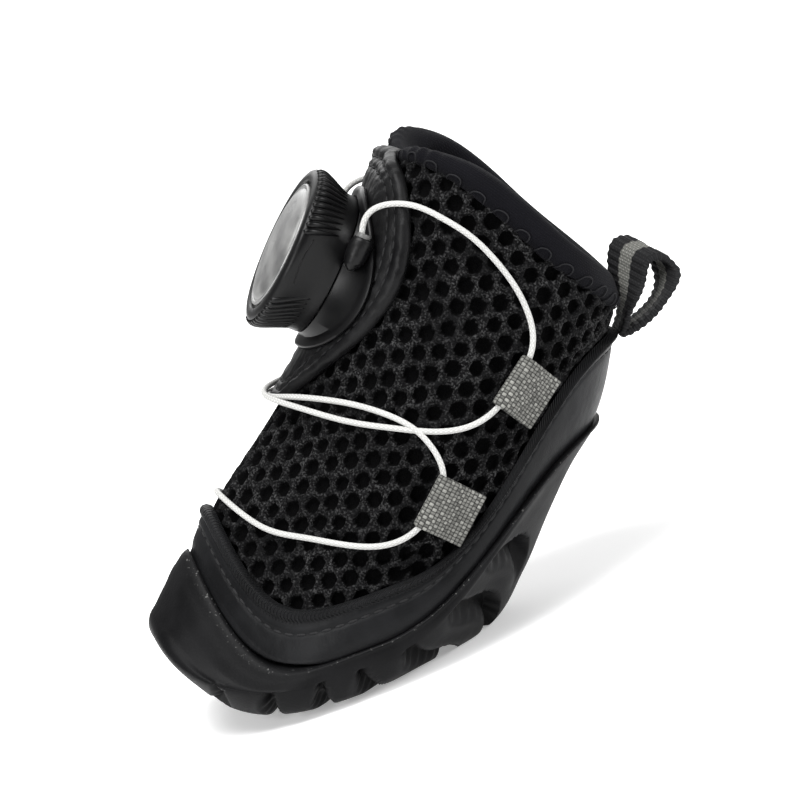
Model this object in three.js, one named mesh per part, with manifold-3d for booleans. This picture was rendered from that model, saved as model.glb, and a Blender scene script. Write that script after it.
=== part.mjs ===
// Dog boot with a lace dial, in millimetres. Toe at -Y, heel at +Y, +X is the boot's left side, +Z up.
// The boot stands on its own sole. Every curved part is worked out from two families of rings round
// the foot: the rubber cup's outside and the upper's outside.
import * as THREE from "three";
import { mergeVertices } from "three/addons/utils/BufferGeometryUtils.js";
import Module from "manifold-3d";

const wasm = await Module();
wasm.setup();

// ---- Driving sizes ----------------------------------------------------------------------------
const SOLE_LENGTH = 84;
const BALL_WIDTH = 57.2;
const SHAFT_HEIGHT = 79;
const GAP = 0.3;
const UPPER_WALL = 2.0;
const RAND_THICK = 1.2;
const PATCH_THICK = 1.4;
const INSOLE_THICK = 2.4;
const LACE_WIDE = 1.1;
const LOOP_WEBBING_WIDE = 9.6;
const PULL_WEBBING_WIDE = 9.0;
const PULL_WEBBING_THICK = 1.3;
const TURNS = 40;

// The ring tables hold a boot of exactly these sizes. A change above stretches them.
const STRETCH = new THREE.Vector3(BALL_WIDTH / 57.2, SOLE_LENGTH / 84, SHAFT_HEIGHT / 79);

const span = (from, to, steps) => Array.from({ length: steps + 1 }, (_, i) => from + ((to - from) * i) / steps);

// ---- Rings ------------------------------------------------------------------------------------
// toe and heel are [y, z] on the middle plane, side is [x, y, z] at the widest place.
// blunt and trim are how square the toe half and the heel half are, lean is the ring's slope in Y,
// and peak, where there is one, gathers the ring's rise towards the middle of the toe.
const CUP_RINGS = {
  hub: { toe: [-6.8, 0], side: [0.8, -6, 0], heel: [-5.2, 0], blunt: 2, trim: 2, lean: 0 },
  flat: { toe: [-28, 0.5], side: [17, -9, 0], heel: [13, 0], blunt: 2.4, trim: 2.2, lean: 0 },
  tread: { toe: [-35.9, 5.6], side: [23.6, -12, 0.7], heel: [21, 6.3], blunt: 2.6, trim: 2.1, lean: 0 },
  edge: { toe: [-39.8, 12.2], side: [26.6, -12, 2.0], heel: [28.5, 14.2], blunt: 2.6, trim: 2.1, lean: 0 },
  nose: { toe: [-42.5, 19.6], side: [28.4, -10, 4.8], heel: [35.0, 20.6], blunt: 2.6, trim: 2.1, lean: 0 },
  shoulder: { toe: [-37.2, 26.2], side: [28.8, -8, 6.9], heel: [40.0, 24.4], blunt: 3.1, trim: 2.1, lean: 0, peak: 2 },
  rim: { toe: [-31.6, 30.0], side: [28.6, -8, 8.6], heel: [42.0, 25.8], blunt: 3.1, trim: 2.1, lean: 0, peak: 2 },
};
const UPPER_RINGS = {
  feather: { toe: [-30.5, 8.6], side: [19.8, -9, 5.4], heel: [14.5, 6.6], blunt: 2.6, trim: 2.1, lean: 0 },
  cup: { toe: [-37.6, 18.2], side: [25.0, -9, 7.6], heel: [30.6, 20.4], blunt: 2.6, trim: 2.1, lean: 0 },
  seam: { toe: [-30.0, 28.4], side: [26.3, -8, 9.0], heel: [39.8, 27.0], blunt: 3.0, trim: 2.1, lean: 0, peak: 2 },
  cap: { toe: [-24.9, 35.0], side: [25.8, 0, 16.8], heel: [48.4, 39.6], blunt: 3.2, trim: 2.1, lean: 0, peak: 2 },
  vamp: { toe: [-8.7, 47.3], side: [25.9, 8, 31.0], heel: [49.1, 40.4], blunt: 2.4, trim: 2.1, lean: 0 },
  instep: { toe: [7.2, 61.3], side: [24.6, 22, 48.5], heel: [49.7, 41.1], blunt: 2.1, trim: 2.1, lean: -0.6 },
  mouth: { toe: [23.9, 79.0], side: [21.8, 37.3, 63.5], heel: [50.2, 41.9], blunt: 2.0, trim: 2.2, lean: -2.1 },
  brim: { toe: [27.2, 78.9], side: [22.4, 41.6, 67.3], heel: [51.2, 50.1], blunt: 2.0, trim: 2.2, lean: -1.9 },
};
const CUP_NAMES = Object.keys(CUP_RINGS);
const UPPER_NAMES = Object.keys(UPPER_RINGS);
const at_cup = (name) => CUP_NAMES.indexOf(name);
const at_upper = (name) => UPPER_NAMES.indexOf(name);

// One place on a ring. turn runs from the toe (0) round the left side to the heel (PI) and back.
function ring_place(ring, turn) {
  const along = Math.cos(turn);
  const across = Math.sin(turn);
  const to_toe = along > 0;
  const [end_y, end_z] = to_toe ? ring.toe : ring.heel;
  const [side_x, side_y, side_z] = ring.side;
  const power = 2 / (to_toe ? ring.blunt : ring.trim);
  const wide = Math.abs(across) ** power;
  const reach = Math.abs(along) ** power;
  const heel_rise = Math.min(1, Math.abs(along) * 1.04);
  const toe_rise = ring.peak ? (1 - wide ** 1.7) ** ring.peak : 1 - wide ** 1.4;
  const lift = to_toe ? toe_rise : heel_rise * heel_rise * (3 - 2 * heel_rise);
  const slope_rise = ring.lean * (end_y - side_y);
  const y = side_y + (end_y - side_y) * reach;
  const z = side_z + ring.lean * (y - side_y) + (end_z - side_z - slope_rise) * lift;
  return new THREE.Vector3(side_x * wide * Math.sign(across), y, z).multiply(STRETCH);
}

// A surface through a family of rings: place(turn, level, out) with level 0 at the first ring.
// out moves the place along the surface's own normal, so forms can be made larger or smaller.
// Nothing on it goes below lowest, which is how the tread gets its flat on the floor.
function surface_of(rings, lowest) {
  const list = Object.values(rings);
  const last = list.length - 1;
  const kept = new Map();
  function line(turn) {
    const key = turn.toFixed(6);
    if (!kept.has(key)) {
      const places = list.map((ring) => ring_place(ring, turn));
      kept.set(key, new THREE.CatmullRomCurve3(places, false, "centripetal"));
    }
    return kept.get(key);
  }
  function bare(turn, level) {
    const spot = line(turn).getPoint(Math.min(1, Math.max(0, level / last)));
    return spot.setZ(Math.max(lowest, spot.z));
  }
  function normal(turn, level) {
    const low = Math.max(0, level - 0.02);
    const high = Math.min(last, level + 0.02);
    const up = bare(turn, high).sub(bare(turn, low));
    const round = bare(turn + 0.02, level).sub(bare(turn - 0.02, level));
    return round.cross(up).normalize();
  }
  function place(turn, level, out = 0) {
    const spot = bare(turn, level);
    return out === 0 ? spot : spot.addScaledVector(normal(turn, level), out);
  }
  return { place, normal, last };
}
const cup = surface_of(CUP_RINGS, 0);
const upper = surface_of(UPPER_RINGS, 5);

// The turn and level where a surface has two wanted measures, by Newton's steps from a start.
const NUDGE = 0.002;
function find_on(surface, measure, wanted, start) {
  let [turn, level] = start;
  for (let step = 0; step < 30; step += 1) {
    const here = measure(surface.place(turn, level));
    const by_turn = measure(surface.place(turn + NUDGE, level));
    const by_level = measure(surface.place(turn, level + NUDGE));
    const a = (by_turn[0] - here[0]) / NUDGE;
    const b = (by_level[0] - here[0]) / NUDGE;
    const c = (by_turn[1] - here[1]) / NUDGE;
    const d = (by_level[1] - here[1]) / NUDGE;
    const det = a * d - b * c || 1e-9;
    const miss = [wanted[0] - here[0], wanted[1] - here[1]];
    const turn_step = (d * miss[0] - b * miss[1]) / det;
    const level_step = (a * miss[1] - c * miss[0]) / det;
    turn += THREE.MathUtils.clamp(turn_step, -0.2, 0.2);
    level += THREE.MathUtils.clamp(level_step, -0.4, 0.4);
    turn = THREE.MathUtils.clamp(turn, 0.002, Math.PI - 0.002);
    level = THREE.MathUtils.clamp(level, 0.01, surface.last - 0.01);
  }
  return [turn, level];
}

// The best of a coarse net of turns and levels, to start those steps from.
function nearest_on(surface, measure, wanted, top_level) {
  let best = [0, 0];
  let least = Infinity;
  for (const turn of span(0.03, Math.PI - 0.03, 30)) {
    for (const level of span(0.05, top_level, 24)) {
      const here = measure(surface.place(turn, level));
      const miss = Math.hypot(here[0] - wanted[0], here[1] - wanted[1]);
      if (miss < least) {
        least = miss;
        best = [turn, level];
      }
    }
  }
  return best;
}

// ---- Solids from grids of places ----------------------------------------------------------------
// rows are closed loops of places; each row joins the next, and the ends close on a place or a fan.
function solid_of_rows(rows, first_hub = null, last_hub = null, joined = false) {
  const count = rows[0].length;
  const places = rows.flat();
  const faces = [];
  const row_count = rows.length;
  const pairs = joined ? row_count : row_count - 1;
  for (let row = 0; row < pairs; row += 1) {
    const next = (row + 1) % row_count;
    for (let i = 0; i < count; i += 1) {
      const j = (i + 1) % count;
      faces.push([row * count + i, row * count + j, next * count + j]);
      faces.push([row * count + i, next * count + j, next * count + i]);
    }
  }
  if (first_hub) {
    places.push(first_hub);
    for (let i = 0; i < count; i += 1) faces.push([(i + 1) % count, i, places.length - 1]);
  }
  if (last_hub) {
    places.push(last_hub);
    const base = (row_count - 1) * count;
    for (let i = 0; i < count; i += 1) faces.push([base + i, base + ((i + 1) % count), places.length - 1]);
  }
  const geometry = new THREE.BufferGeometry();
  const flat = places.flatMap((place) => place.toArray());
  geometry.setAttribute("position", new THREE.Float32BufferAttribute(flat, 3));
  geometry.setIndex(faces.flat());
  return geometry;
}

function middle_of(row) {
  const sum = new THREE.Vector3();
  row.forEach((place) => sum.add(place));
  return sum.divideScalar(row.length);
}

function to_solid(geometry) {
  const bare = geometry.clone();
  bare.deleteAttribute("normal");
  bare.deleteAttribute("uv");
  const merged = mergeVertices(bare, 1e-4);
  const vertProperties = merged.attributes.position.array;
  const triVerts = new Uint32Array(merged.index.array);
  const solid = new wasm.Manifold(new wasm.Mesh({ numProp: 3, vertProperties, triVerts }));
  if (solid.volume() > 0) return solid;
  for (let i = 0; i < triVerts.length; i += 3) {
    [triVerts[i + 1], triVerts[i + 2]] = [triVerts[i + 2], triVerts[i + 1]];
  }
  return new wasm.Manifold(new wasm.Mesh({ numProp: 3, vertProperties, triVerts }));
}

function to_geometry(solid) {
  const mesh = solid.getMesh();
  const places = [];
  for (let i = 0; i < mesh.numVert; i += 1) {
    for (let k = 0; k < 3; k += 1) places.push(mesh.vertProperties[i * mesh.numProp + k]);
  }
  const geometry = new THREE.BufferGeometry();
  geometry.setAttribute("position", new THREE.Float32BufferAttribute(places, 3));
  geometry.setIndex(Array.from(mesh.triVerts));
  return geometry;
}

const turns_round = Array.from({ length: TURNS }, (_, i) => (i * 2 * Math.PI) / TURNS);
const row_on = (surface, level, out) => turns_round.map((turn) => surface.place(turn, level, out));

// The whole filled form of the upper, made larger or smaller by out. It is only ever a cutter.
function upper_form(out) {
  const rows = span(0, upper.last, 2 * upper.last).map((level) => row_on(upper, level, out));
  return to_solid(solid_of_rows(rows, middle_of(rows[0]), middle_of(rows[rows.length - 1])));
}

// A shell between two offsets of the upper's surface, from one level to another.
function upper_shell(low, high, steps, inner, outer) {
  const levels = span(low, high, steps);
  const outside = levels.map((level) => row_on(upper, level, outer));
  const inside = levels.map((level) => row_on(upper, level, inner)).reverse();
  return solid_of_rows([...outside, ...inside], null, null, true);
}

// ---- Outsole: one rubber cup with zigzag lugs -----------------------------------------------------
const FLOOR_RINGS = [
  { toe: [-22, 5.0], side: [12.5, -8, 4.7], heel: [8.5, 4.8], blunt: 2.2, trim: 2, lean: 0 },
  { toe: [-14, 4.6], side: [5, -6, 4.6], heel: [2, 4.6], blunt: 2, trim: 2, lean: 0 },
];
const LUG_DEPTH = 2.5;
// Extra room round the upper, so that flat facets of unlike lengths stay clear of each other.
const CUP_SLACK = 0.4;
// Where each groove crosses the middle, measured along the sole and up round the toe.
const GROOVE_STARTS = [5.5, -4, -13.5, -23, -34, -46.5];
const GROOVE_SWING = 6.7;
const GROOVE_HALF_WAVE = 14.5;
const REAR_NOTCH = { start: 9, from_x: 12 };
// Ahead of this y the grooves are measured round the toe, so that they stay level with each other.
const TOE_CLIMB = { ahead_of: 12, over: 10, slope: 0.6 };
const GROOVE_STEP = 2.6;
const GROOVE_HALF_WIDE = 26;
// The cutter's section: [to the heel, out of the tread], deepest at the wall that pushes off.
const WEDGE_SECTION = [
  [1.7, 1.2],
  [-2.6, 1.2],
  [-2.1, -0.1],
  [0.5, -LUG_DEPTH],
  [1.5, -LUG_DEPTH],
];
const WEDGE_END_DEPTH = 0.6;

function outsole_cup() {
  const outside = span(0, cup.last, 13).map((level) => row_on(cup, level, 0));
  const seam = at_upper("seam");
  const inside = [seam - 0.12, ...span(seam - 0.5, 0, 3)].map((level) => row_on(upper, level, GAP + CUP_SLACK));
  const floor = FLOOR_RINGS.map((ring) => turns_round.map((turn) => ring_place(ring, turn)));
  const rows = [...outside, ...inside, ...floor];
  return solid_of_rows(rows, new THREE.Vector3(0, -6, 0), new THREE.Vector3(0, -6, 4.6));
}

// One groove cutter: a wedge swept over the tread along a zigzag, deep at its heel side.
function groove(start, from_x) {
  const measure = (place) => {
    const past = (-place.y - TOE_CLIMB.ahead_of) / TOE_CLIMB.over;
    const climb = TOE_CLIMB.slope * THREE.MathUtils.clamp(past, 0, 1);
    return [place.x, place.y - climb * place.z];
  };
  const swing = (x) => (GROOVE_SWING * (1 - Math.cos((Math.PI * x) / GROOVE_HALF_WAVE))) / 2;
  const spots = [];
  for (let x = from_x; x < GROOVE_HALF_WIDE; x += GROOVE_STEP) {
    const wanted = [Math.max(x, 0.4), start + swing(x)];
    const guess = find_on(cup, measure, wanted, nearest_on(cup, measure, wanted, at_cup("nose")));
    const found = measure(cup.place(...guess));
    if (Math.hypot(found[0] - wanted[0], found[1] - wanted[1]) > 0.1) break;
    if (x > 9 && guess[1] > at_cup("edge") - 0.2) break;
    spots.push([guess[0], guess[1]]);
  }
  const [last_turn, last_level] = spots[spots.length - 1];
  const side_top = at_cup("nose") + 0.35;
  for (const part of [0.35, 0.7, 1]) {
    const level = last_level + (side_top - last_level) * part;
    spots.push([last_turn + (last_turn < 1.3 ? 0.05 * part : -0.02 * part), level]);
  }
  const half = spots.map(([turn, level]) => ({ place: cup.place(turn, level), up: cup.normal(turn, level) }));
  const mirrored = half.map(({ place, up }) => ({
    place: place.clone().setX(-place.x),
    up: up.clone().setX(-up.x),
  }));
  const paths = from_x > 0 ? [half, mirrored] : [[...mirrored.reverse(), ...half]];
  return paths.map((path) => wedge(path));
}

function wedge(path) {
  const rows = path.map(({ place, up }, i) => {
    const before = path[Math.max(0, i - 1)].place;
    const after = path[Math.min(path.length - 1, i + 1)].place;
    const ahead = after.clone().sub(before).normalize();
    const to_heel = ahead.clone().cross(up).normalize();
    if (to_heel.y < 0) to_heel.negate();
    const end = i === 0 || i === path.length - 1;
    return WEDGE_SECTION.map(([side, out]) => {
      const height = end ? Math.max(out, -WEDGE_END_DEPTH) : out;
      return place.clone().addScaledVector(to_heel, side).addScaledVector(up, height);
    });
  });
  return to_solid(solid_of_rows(rows, middle_of(rows[0]), middle_of(rows[rows.length - 1])));
}

// The rand stands from just over the cup's seam to the cap ring, in a step cut into the cup.
const rand_low = at_upper("seam") + 0.06;
const rand_high = at_upper("cap");
const rand_room = upper_shell(rand_low - 0.1, rand_high, 4, -0.5, GAP + RAND_THICK + GAP);

let outsole = to_solid(outsole_cup()).subtract(to_solid(rand_room));
const cutters = GROOVE_STARTS.flatMap((start) => groove(start, 0));
cutters.push(...groove(REAR_NOTCH.start, REAR_NOTCH.from_x));
for (const cutter of cutters) outsole = outsole.subtract(cutter);

// ---- Upper, insole, rand, collar ---------------------------------------------------------------------
const mouth_level = at_upper("mouth");
const upper_wall = upper_shell(0, mouth_level, 2 * mouth_level, -UPPER_WALL, 0);

function insole_bed() {
  const under = FLOOR_RINGS.map((ring) => turns_round.map((turn) => ring_place(ring, turn))).reverse();
  under.forEach((row) => row.forEach((place) => place.setZ(place.z + GAP)));
  const foot = row_on(upper, 0.02, -UPPER_WALL - GAP - 0.2);
  foot.forEach((place) => place.setZ(place.z + GAP + 0.25));
  const rim = row_on(upper, 0.3, -UPPER_WALL - GAP - 0.1);
  const inner = rim.map((place) => place.clone().multiply(new THREE.Vector3(0.93, 0.93, 1)));
  const top = under[1].map((place) => place.clone().setZ(place.z + INSOLE_THICK));
  const top_inner = under[0].map((place) => place.clone().setZ(place.z + INSOLE_THICK));
  const rows = [...under, foot, rim, inner, top, top_inner];
  const hub = new THREE.Vector3(0, -6, 4.6 + GAP);
  return solid_of_rows(rows, hub, hub.clone().setZ(hub.z + INSOLE_THICK));
}

const rand = upper_shell(rand_low, rand_high, 4, GAP, GAP + RAND_THICK);

// The padded band: an upright oval carried round the mouth, in levels and millimetres.
const BAND = { level: 0.52, half_high: 0.45, middle: -1.4, half_thick: 2.6, roundness: 0.75 };
function collar_band() {
  const STEPS = 10;
  const bowed = (value) => Math.sign(value) * Math.abs(value) ** BAND.roundness;
  const rows = [];
  for (let i = 0; i < STEPS; i += 1) {
    const angle = (i * 2 * Math.PI) / STEPS;
    const level = mouth_level + BAND.level + BAND.half_high * bowed(Math.cos(angle));
    rows.push(row_on(upper, level, BAND.middle + BAND.half_thick * bowed(Math.sin(angle))));
  }
  return solid_of_rows(rows, null, null, true);
}

// ---- The shaft front: patch and lace dial -----------------------------------------------------------
// The dial stands square on the front line of the shaft, which runs up from the patch's tip.
const FRONT_TIP = new THREE.Vector3(0, -8.0, 46.7).multiply(STRETCH);
const FRONT_UP = new THREE.Vector3(0, 0.71, 0.704).normalize();
const DIAL_AXIS = new THREE.Vector3(0, -0.704, 0.71).normalize();
const SIDEWAYS = new THREE.Vector3(1, 0, 0);
const DIAL_UP_FRONT = 25.2;
const DIAL_SIDES = 32;
const PATCH_OUTLINE = [
  { up: 0.5, half: 2.0 },
  { up: 4, half: 5.0 },
  { up: 9, half: 9.2 },
  { up: 15, half: 13.6 },
  { up: 21, half: 16.6 },
  { up: 28, half: 18.2 },
  { up: 35, half: 17.6 },
  { up: 41, half: 15.4 },
  { up: 45, half: 12.4 },
  { up: 46.6, half: 8.0 },
];
const PATCH_REACH = 22;

// Stands a geometry made round +Z on the shaft front: how far up the front line, and how high over it.
function stand_on_front(geometry, up_front, height) {
  const frame = new THREE.Matrix4().makeBasis(SIDEWAYS, FRONT_UP, DIAL_AXIS);
  const foot = FRONT_TIP.clone().addScaledVector(FRONT_UP, up_front).addScaledVector(DIAL_AXIS, height);
  return geometry.applyMatrix4(frame.setPosition(foot));
}

function dial_patch() {
  const left_side = PATCH_OUTLINE.map(({ up, half }) => new THREE.Vector2(half, up));
  const right_side = PATCH_OUTLINE.map(({ up, half }) => new THREE.Vector2(-half, up)).reverse();
  const outline = new THREE.Shape([...left_side, ...right_side]);
  const prism = new THREE.ExtrudeGeometry(outline, { depth: PATCH_REACH + 6, bevelEnabled: false });
  const standing = stand_on_front(prism, 0, -PATCH_REACH);
  const shell = upper_shell(at_upper("cap") + 0.5, mouth_level - 0.03, 5, GAP, GAP + PATCH_THICK);
  return to_geometry(to_solid(shell).intersect(to_solid(standing)));
}

const PATCH_TOP = GAP + PATCH_THICK + GAP;
const BASE = { radius: 12.5, top: 1.1, flange_radius: 14.6, flange_thick: 0.9, sink: 9 };
const PORT = { x: 13.9, up: 5.7, height: -0.2, radius: 2, long: 5 };
const KNOB_FOOT = BASE.top + GAP;
const KNOB_HIGH = 8.1;

function turned(profile, sides) {
  const points = profile.map(([radius, height]) => new THREE.Vector2(radius, height));
  return new THREE.LatheGeometry(points, sides).rotateX(Math.PI / 2);
}

function turned_on_front(profile, height) {
  return stand_on_front(turned(profile, DIAL_SIDES), DIAL_UP_FRONT, PATCH_TOP + height);
}

const drum_profile = (radius, low, high) => [
  [0, low],
  [radius, low],
  [radius, high],
  [0, high],
];

// The dial's bed: a thin flange curved with the shaft, a round seat on it, and a lace port each side.
function dial_base() {
  const flange = to_solid(turned_on_front(drum_profile(BASE.flange_radius, -BASE.sink, BASE.top), 0));
  let bed = flange.intersect(upper_form(PATCH_TOP + BASE.flange_thick));
  bed = bed.add(to_solid(turned_on_front(drum_profile(BASE.radius, -BASE.sink, BASE.top), 0)));
  for (const side of [-1, 1]) {
    const port = new THREE.CylinderGeometry(PORT.radius, PORT.radius, PORT.long, 10);
    port.translate(side * PORT.x, PORT.up, PORT.height);
    bed = bed.add(to_solid(stand_on_front(port, DIAL_UP_FRONT, PATCH_TOP)));
  }
  return to_geometry(bed.subtract(upper_form(PATCH_TOP)));
}

// Narrow at its foot and flared to a round rim.
const KNOB_PROFILE = [
  [0, 0],
  [12.45, 0],
  [12.5, 1.4],
  [12.9, 3.3],
  [13.7, 5.7],
  [14.2, 7.4],
  [14.0, KNOB_HIGH],
  [0, KNOB_HIGH],
];
const DISC_PROFILE = [
  [0, 0],
  [11.2, 0],
  [11.2, 0.5],
  [9.4, 0.95],
  [5.4, 1.35],
  [0, 1.5],
];
const dial_knob = () => turned_on_front(KNOB_PROFILE, KNOB_FOOT);
const dial_disc = () => turned_on_front(DISC_PROFILE, KNOB_FOOT + KNOB_HIGH + GAP);

// ---- Lace and its four webbing loops ------------------------------------------------------------------
// Both ends of a loop's fold, as [turn in degrees, level]. The lace runs through the fold.
const LOOPS = {
  upper: { top: [111.5, 4.9], foot: [105.5, 4.46], reach: 5.9 },
  lower: { top: [95.4, 3.97], foot: [90.6, 3.56], reach: 6.3 },
};
const FOLD_RISE = 2.05;
const FOLD_HOLE = 0.85;
const FOLD_SKIN = 0.8;
const LEG_THICK = 1.5;
const LEG_LIFT = GAP + 0.1;
const to_turn = (degrees) => (degrees * Math.PI) / 180;

function loop_frame({ top, foot }) {
  const high = upper.place(to_turn(top[0]), top[1]);
  const low = upper.place(to_turn(foot[0]), foot[1]);
  const middle = high.clone().add(low).multiplyScalar(0.5);
  const turn = to_turn((top[0] + foot[0]) / 2);
  const up = upper.normal(turn, (top[1] + foot[1]) / 2);
  const along = high.sub(low).normalize();
  along.addScaledVector(up, -along.dot(up)).normalize();
  const down = up.clone().cross(along).normalize();
  if (down.z > 0) down.negate();
  return { middle, along, down, up };
}

function webbing_loop(loop, side) {
  const { middle, along, down, up } = loop_frame(loop);
  const shape = new THREE.Shape();
  const fold = FOLD_HOLE + FOLD_SKIN;
  shape.moveTo(loop.reach, LEG_LIFT);
  shape.lineTo(loop.reach, LEG_LIFT + LEG_THICK);
  shape.lineTo(2.6, FOLD_RISE + fold - 0.9);
  shape.absarc(0, FOLD_RISE, fold, Math.PI / 3, (3 * Math.PI) / 2, false);
  const hole = new THREE.Path();
  hole.absarc(0, FOLD_RISE, FOLD_HOLE, 0, 2 * Math.PI, true);
  shape.holes.push(hole);
  const strap = new THREE.ExtrudeGeometry(shape, {
    depth: LOOP_WEBBING_WIDE,
    bevelEnabled: false,
    curveSegments: 5,
  });
  strap.translate(0, 0, -LOOP_WEBBING_WIDE / 2);
  const frame = new THREE.Matrix4().makeBasis(down, up, down.clone().cross(up)).setPosition(middle);
  strap.applyMatrix4(frame);
  if (side < 0) strap.applyMatrix4(new THREE.Matrix4().makeScale(-1, 1, 1));
  const clear = upper_form(GAP).add(to_solid(upper_shell(rand_low, rand_high + 0.02, 6, 0, 2 * GAP + RAND_THICK)));
  return to_geometry(to_solid(strap).subtract(clear));
}

// The lace on the left half. Out of the port it is [x, up the front line, height over the patch] from
// the dial's middle, and from there on [turn in degrees, level, height over the upper].
const LACE_LOW = 0.9;
const LACE_OVER_PATCH = 2.4;
const FROM_PORT = [
  [13.9, 8.6, 1.2],
  [14.0, 10.3, 2.2],
  [14.3, 12.2, 2.1],
  [15.0, 14.4, 0.2],
  [16.4, 16.0, -2.6],
  [18.0, 17.0, -5.4],
];
const FROM_DIAL = [
  [60, 5.86, 1.7],
  [73, 5.83, 1.1],
  [86, 5.74, 1.0],
  [97, 5.6, 1.0],
  [105, 5.4, 1.0],
  [110.5, 5.18, 1.4],
];
const TO_CROSSING = [
  [99, 4.36, 1.3],
  [88, 4.42, LACE_LOW],
  [69, 4.44, LACE_LOW],
  [45, 4.36, LACE_LOW],
  [20, 4.21, LACE_OVER_PATCH - 0.4],
];
const FROM_CROSSING = [
  [18, 4.27, LACE_OVER_PATCH - 0.4],
  [42, 4.47, LACE_LOW],
  [60, 4.51, LACE_LOW],
  [78, 4.46, LACE_LOW],
  [90, 4.29, 1.2],
];
const TOE_BAR = [
  [84, 3.44, 1.2],
  [72, 3.48, LACE_LOW],
  [57, 3.51, LACE_LOW],
  [42, 3.5, LACE_LOW],
  [24, 3.37, LACE_LOW + 0.1],
];
const CROSSING = [0, 4.02, LACE_OVER_PATCH];
const BAR_MIDDLE = [0, 3.15, 1.2];

const lace_place = ([degrees, level, height]) => upper.place(to_turn(degrees), level, height);

// Where the lace lies in a loop: just outside both mouths of the fold, and at its middle.
function lace_in(loop) {
  const { middle, along, up } = loop_frame(loop);
  const at = (step) => middle.clone().addScaledVector(up, FOLD_RISE).addScaledVector(along, step);
  return [at(LOOP_WEBBING_WIDE / 2), at(0), at(-LOOP_WEBBING_WIDE / 2)];
}

function near_dial([x, up, height]) {
  const foot = FRONT_TIP.clone().addScaledVector(FRONT_UP, DIAL_UP_FRONT + up);
  return foot.addScaledVector(DIAL_AXIS, PATCH_TOP + height).setX(x);
}

const across = (place) => place.clone().setX(-place.x);

function cord_solid(places, steps) {
  const path = new THREE.CatmullRomCurve3(places, false, "centripetal");
  const section = new THREE.Shape();
  section.absarc(0, 0, LACE_WIDE / 2, 0, 2 * Math.PI, false);
  const tube = new THREE.ExtrudeGeometry(section, {
    extrudePath: path,
    steps,
    curveSegments: 4,
    bevelEnabled: false,
  });
  return to_solid(tube);
}

function lace() {
  const upper_fold = lace_in(LOOPS.upper);
  const lower_fold = lace_in(LOOPS.lower);
  const from_dial = FROM_DIAL.map(lace_place);
  const to_crossing = TO_CROSSING.map(lace_place);
  const from_crossing = FROM_CROSSING.map(lace_place);
  const toe_bar = TOE_BAR.map(lace_place);
  const crossing = lace_place(CROSSING);
  const bar_middle = lace_place(BAR_MIDDLE);
  const from_port = FROM_PORT.map(near_dial);
  const first = [...from_port, ...from_dial, ...upper_fold, ...to_crossing, crossing, across(to_crossing[4])];
  const second = [across(from_crossing[0]), crossing, ...from_crossing, ...lower_fold, ...toe_bar, bar_middle];
  second.push(across(toe_bar[4]));
  const left = cord_solid(first, 42).add(cord_solid(second, 30));
  const right = left.mirror([1, 0, 0]);
  return to_geometry(left.add(right));
}

// ---- Pull loop at the heel --------------------------------------------------------------------------------
// The strap's middle line in side view, from its sewn foot round and back, as [y, z].
const PULL_LINE = [
  [52.8, 38.6],
  [56.4, 39.8],
  [60.4, 42.4],
  [62.4, 45.8],
  [61.0, 48.8],
  [58.4, 49.2],
  [56.8, 46.2],
  [55.3, 42.2],
];

// The strap turns about its sewn foot as it rises from one height to the other.
const PULL_TWIST = { angle: Math.PI / 6, from: 40, to: 48 };

function pull_loop() {
  const line = new THREE.CatmullRomCurve3(
    PULL_LINE.map(([y, z]) => new THREE.Vector3(0, y, z)),
    true,
    "centripetal",
  );
  const COUNT = 28;
  const rows = [];
  const upright = new THREE.Vector3(0, 0, 1);
  const sewn = new THREE.Vector3(0, PULL_LINE[0][0], 0);
  for (let i = 0; i < COUNT; i += 1) {
    const spot = line.getPoint(i / COUNT);
    const ahead = line.getTangent(i / COUNT);
    const out = new THREE.Vector3(0, ahead.z, -ahead.y).normalize();
    const twist = PULL_TWIST.angle * THREE.MathUtils.smoothstep(spot.z, PULL_TWIST.from, PULL_TWIST.to);
    const at = (x, side) => {
      const flat = spot.clone().addScaledVector(out, side).setX(x).sub(sewn);
      return flat.applyAxisAngle(upright, twist).add(sewn);
    };
    const half = PULL_WEBBING_WIDE / 2;
    const thick = PULL_WEBBING_THICK / 2;
    rows.push([at(-half, thick), at(half, thick), at(half, -thick), at(-half, -thick)]);
  }
  return solid_of_rows(rows, null, null, true);
}

// ---- Meshes --------------------------------------------------------------------------------------------
const group = new THREE.Group();
group.name = "dog_boot";
function add(name, geometry, colour, roughness, metalness = 0) {
  const solid = to_solid(geometry);
  const clean = to_geometry(solid);
  clean.computeVertexNormals();
  const material = new THREE.MeshStandardMaterial({ color: colour, roughness, metalness });
  const mesh = new THREE.Mesh(clean, material);
  mesh.name = name;
  group.add(mesh);
}

add("outsole", to_geometry(outsole), 0x1c1d20, 0.6);
add("insole", insole_bed(), 0x2a2b2e, 0.9);
add("upper", upper_wall, 0x17181a, 0.95);
add("rand", rand, 0x202124, 0.5);
add("collar", collar_band(), 0x1d1e26, 0.9);
add("dial_patch", dial_patch(), 0x1b1c1e, 0.55);
add("dial_base", dial_base(), 0x161719, 0.45);
add("dial_knob", dial_knob(), 0x2b2c2e, 0.4);
add("dial_disc", dial_disc(), 0xb4b5b8, 0.3, 0.4);
add("lace", lace(), 0xf2f2f0, 0.7);
for (const [row, loop] of Object.entries(LOOPS)) {
  add(`lace_loop_left_${row}`, webbing_loop(loop, 1), 0xb9babd, 0.9);
  add(`lace_loop_right_${row}`, webbing_loop(loop, -1), 0xb9babd, 0.9);
}
add("pull_loop", pull_loop(), 0x222326, 0.9);

// Sit the boot on the floor with the middle of its box over the origin.
const box = new THREE.Box3().setFromObject(group);
const middle = box.getCenter(new THREE.Vector3());
group.children.forEach((mesh) => mesh.geometry.translate(0, -middle.y, -box.min.z));

export default group;
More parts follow.
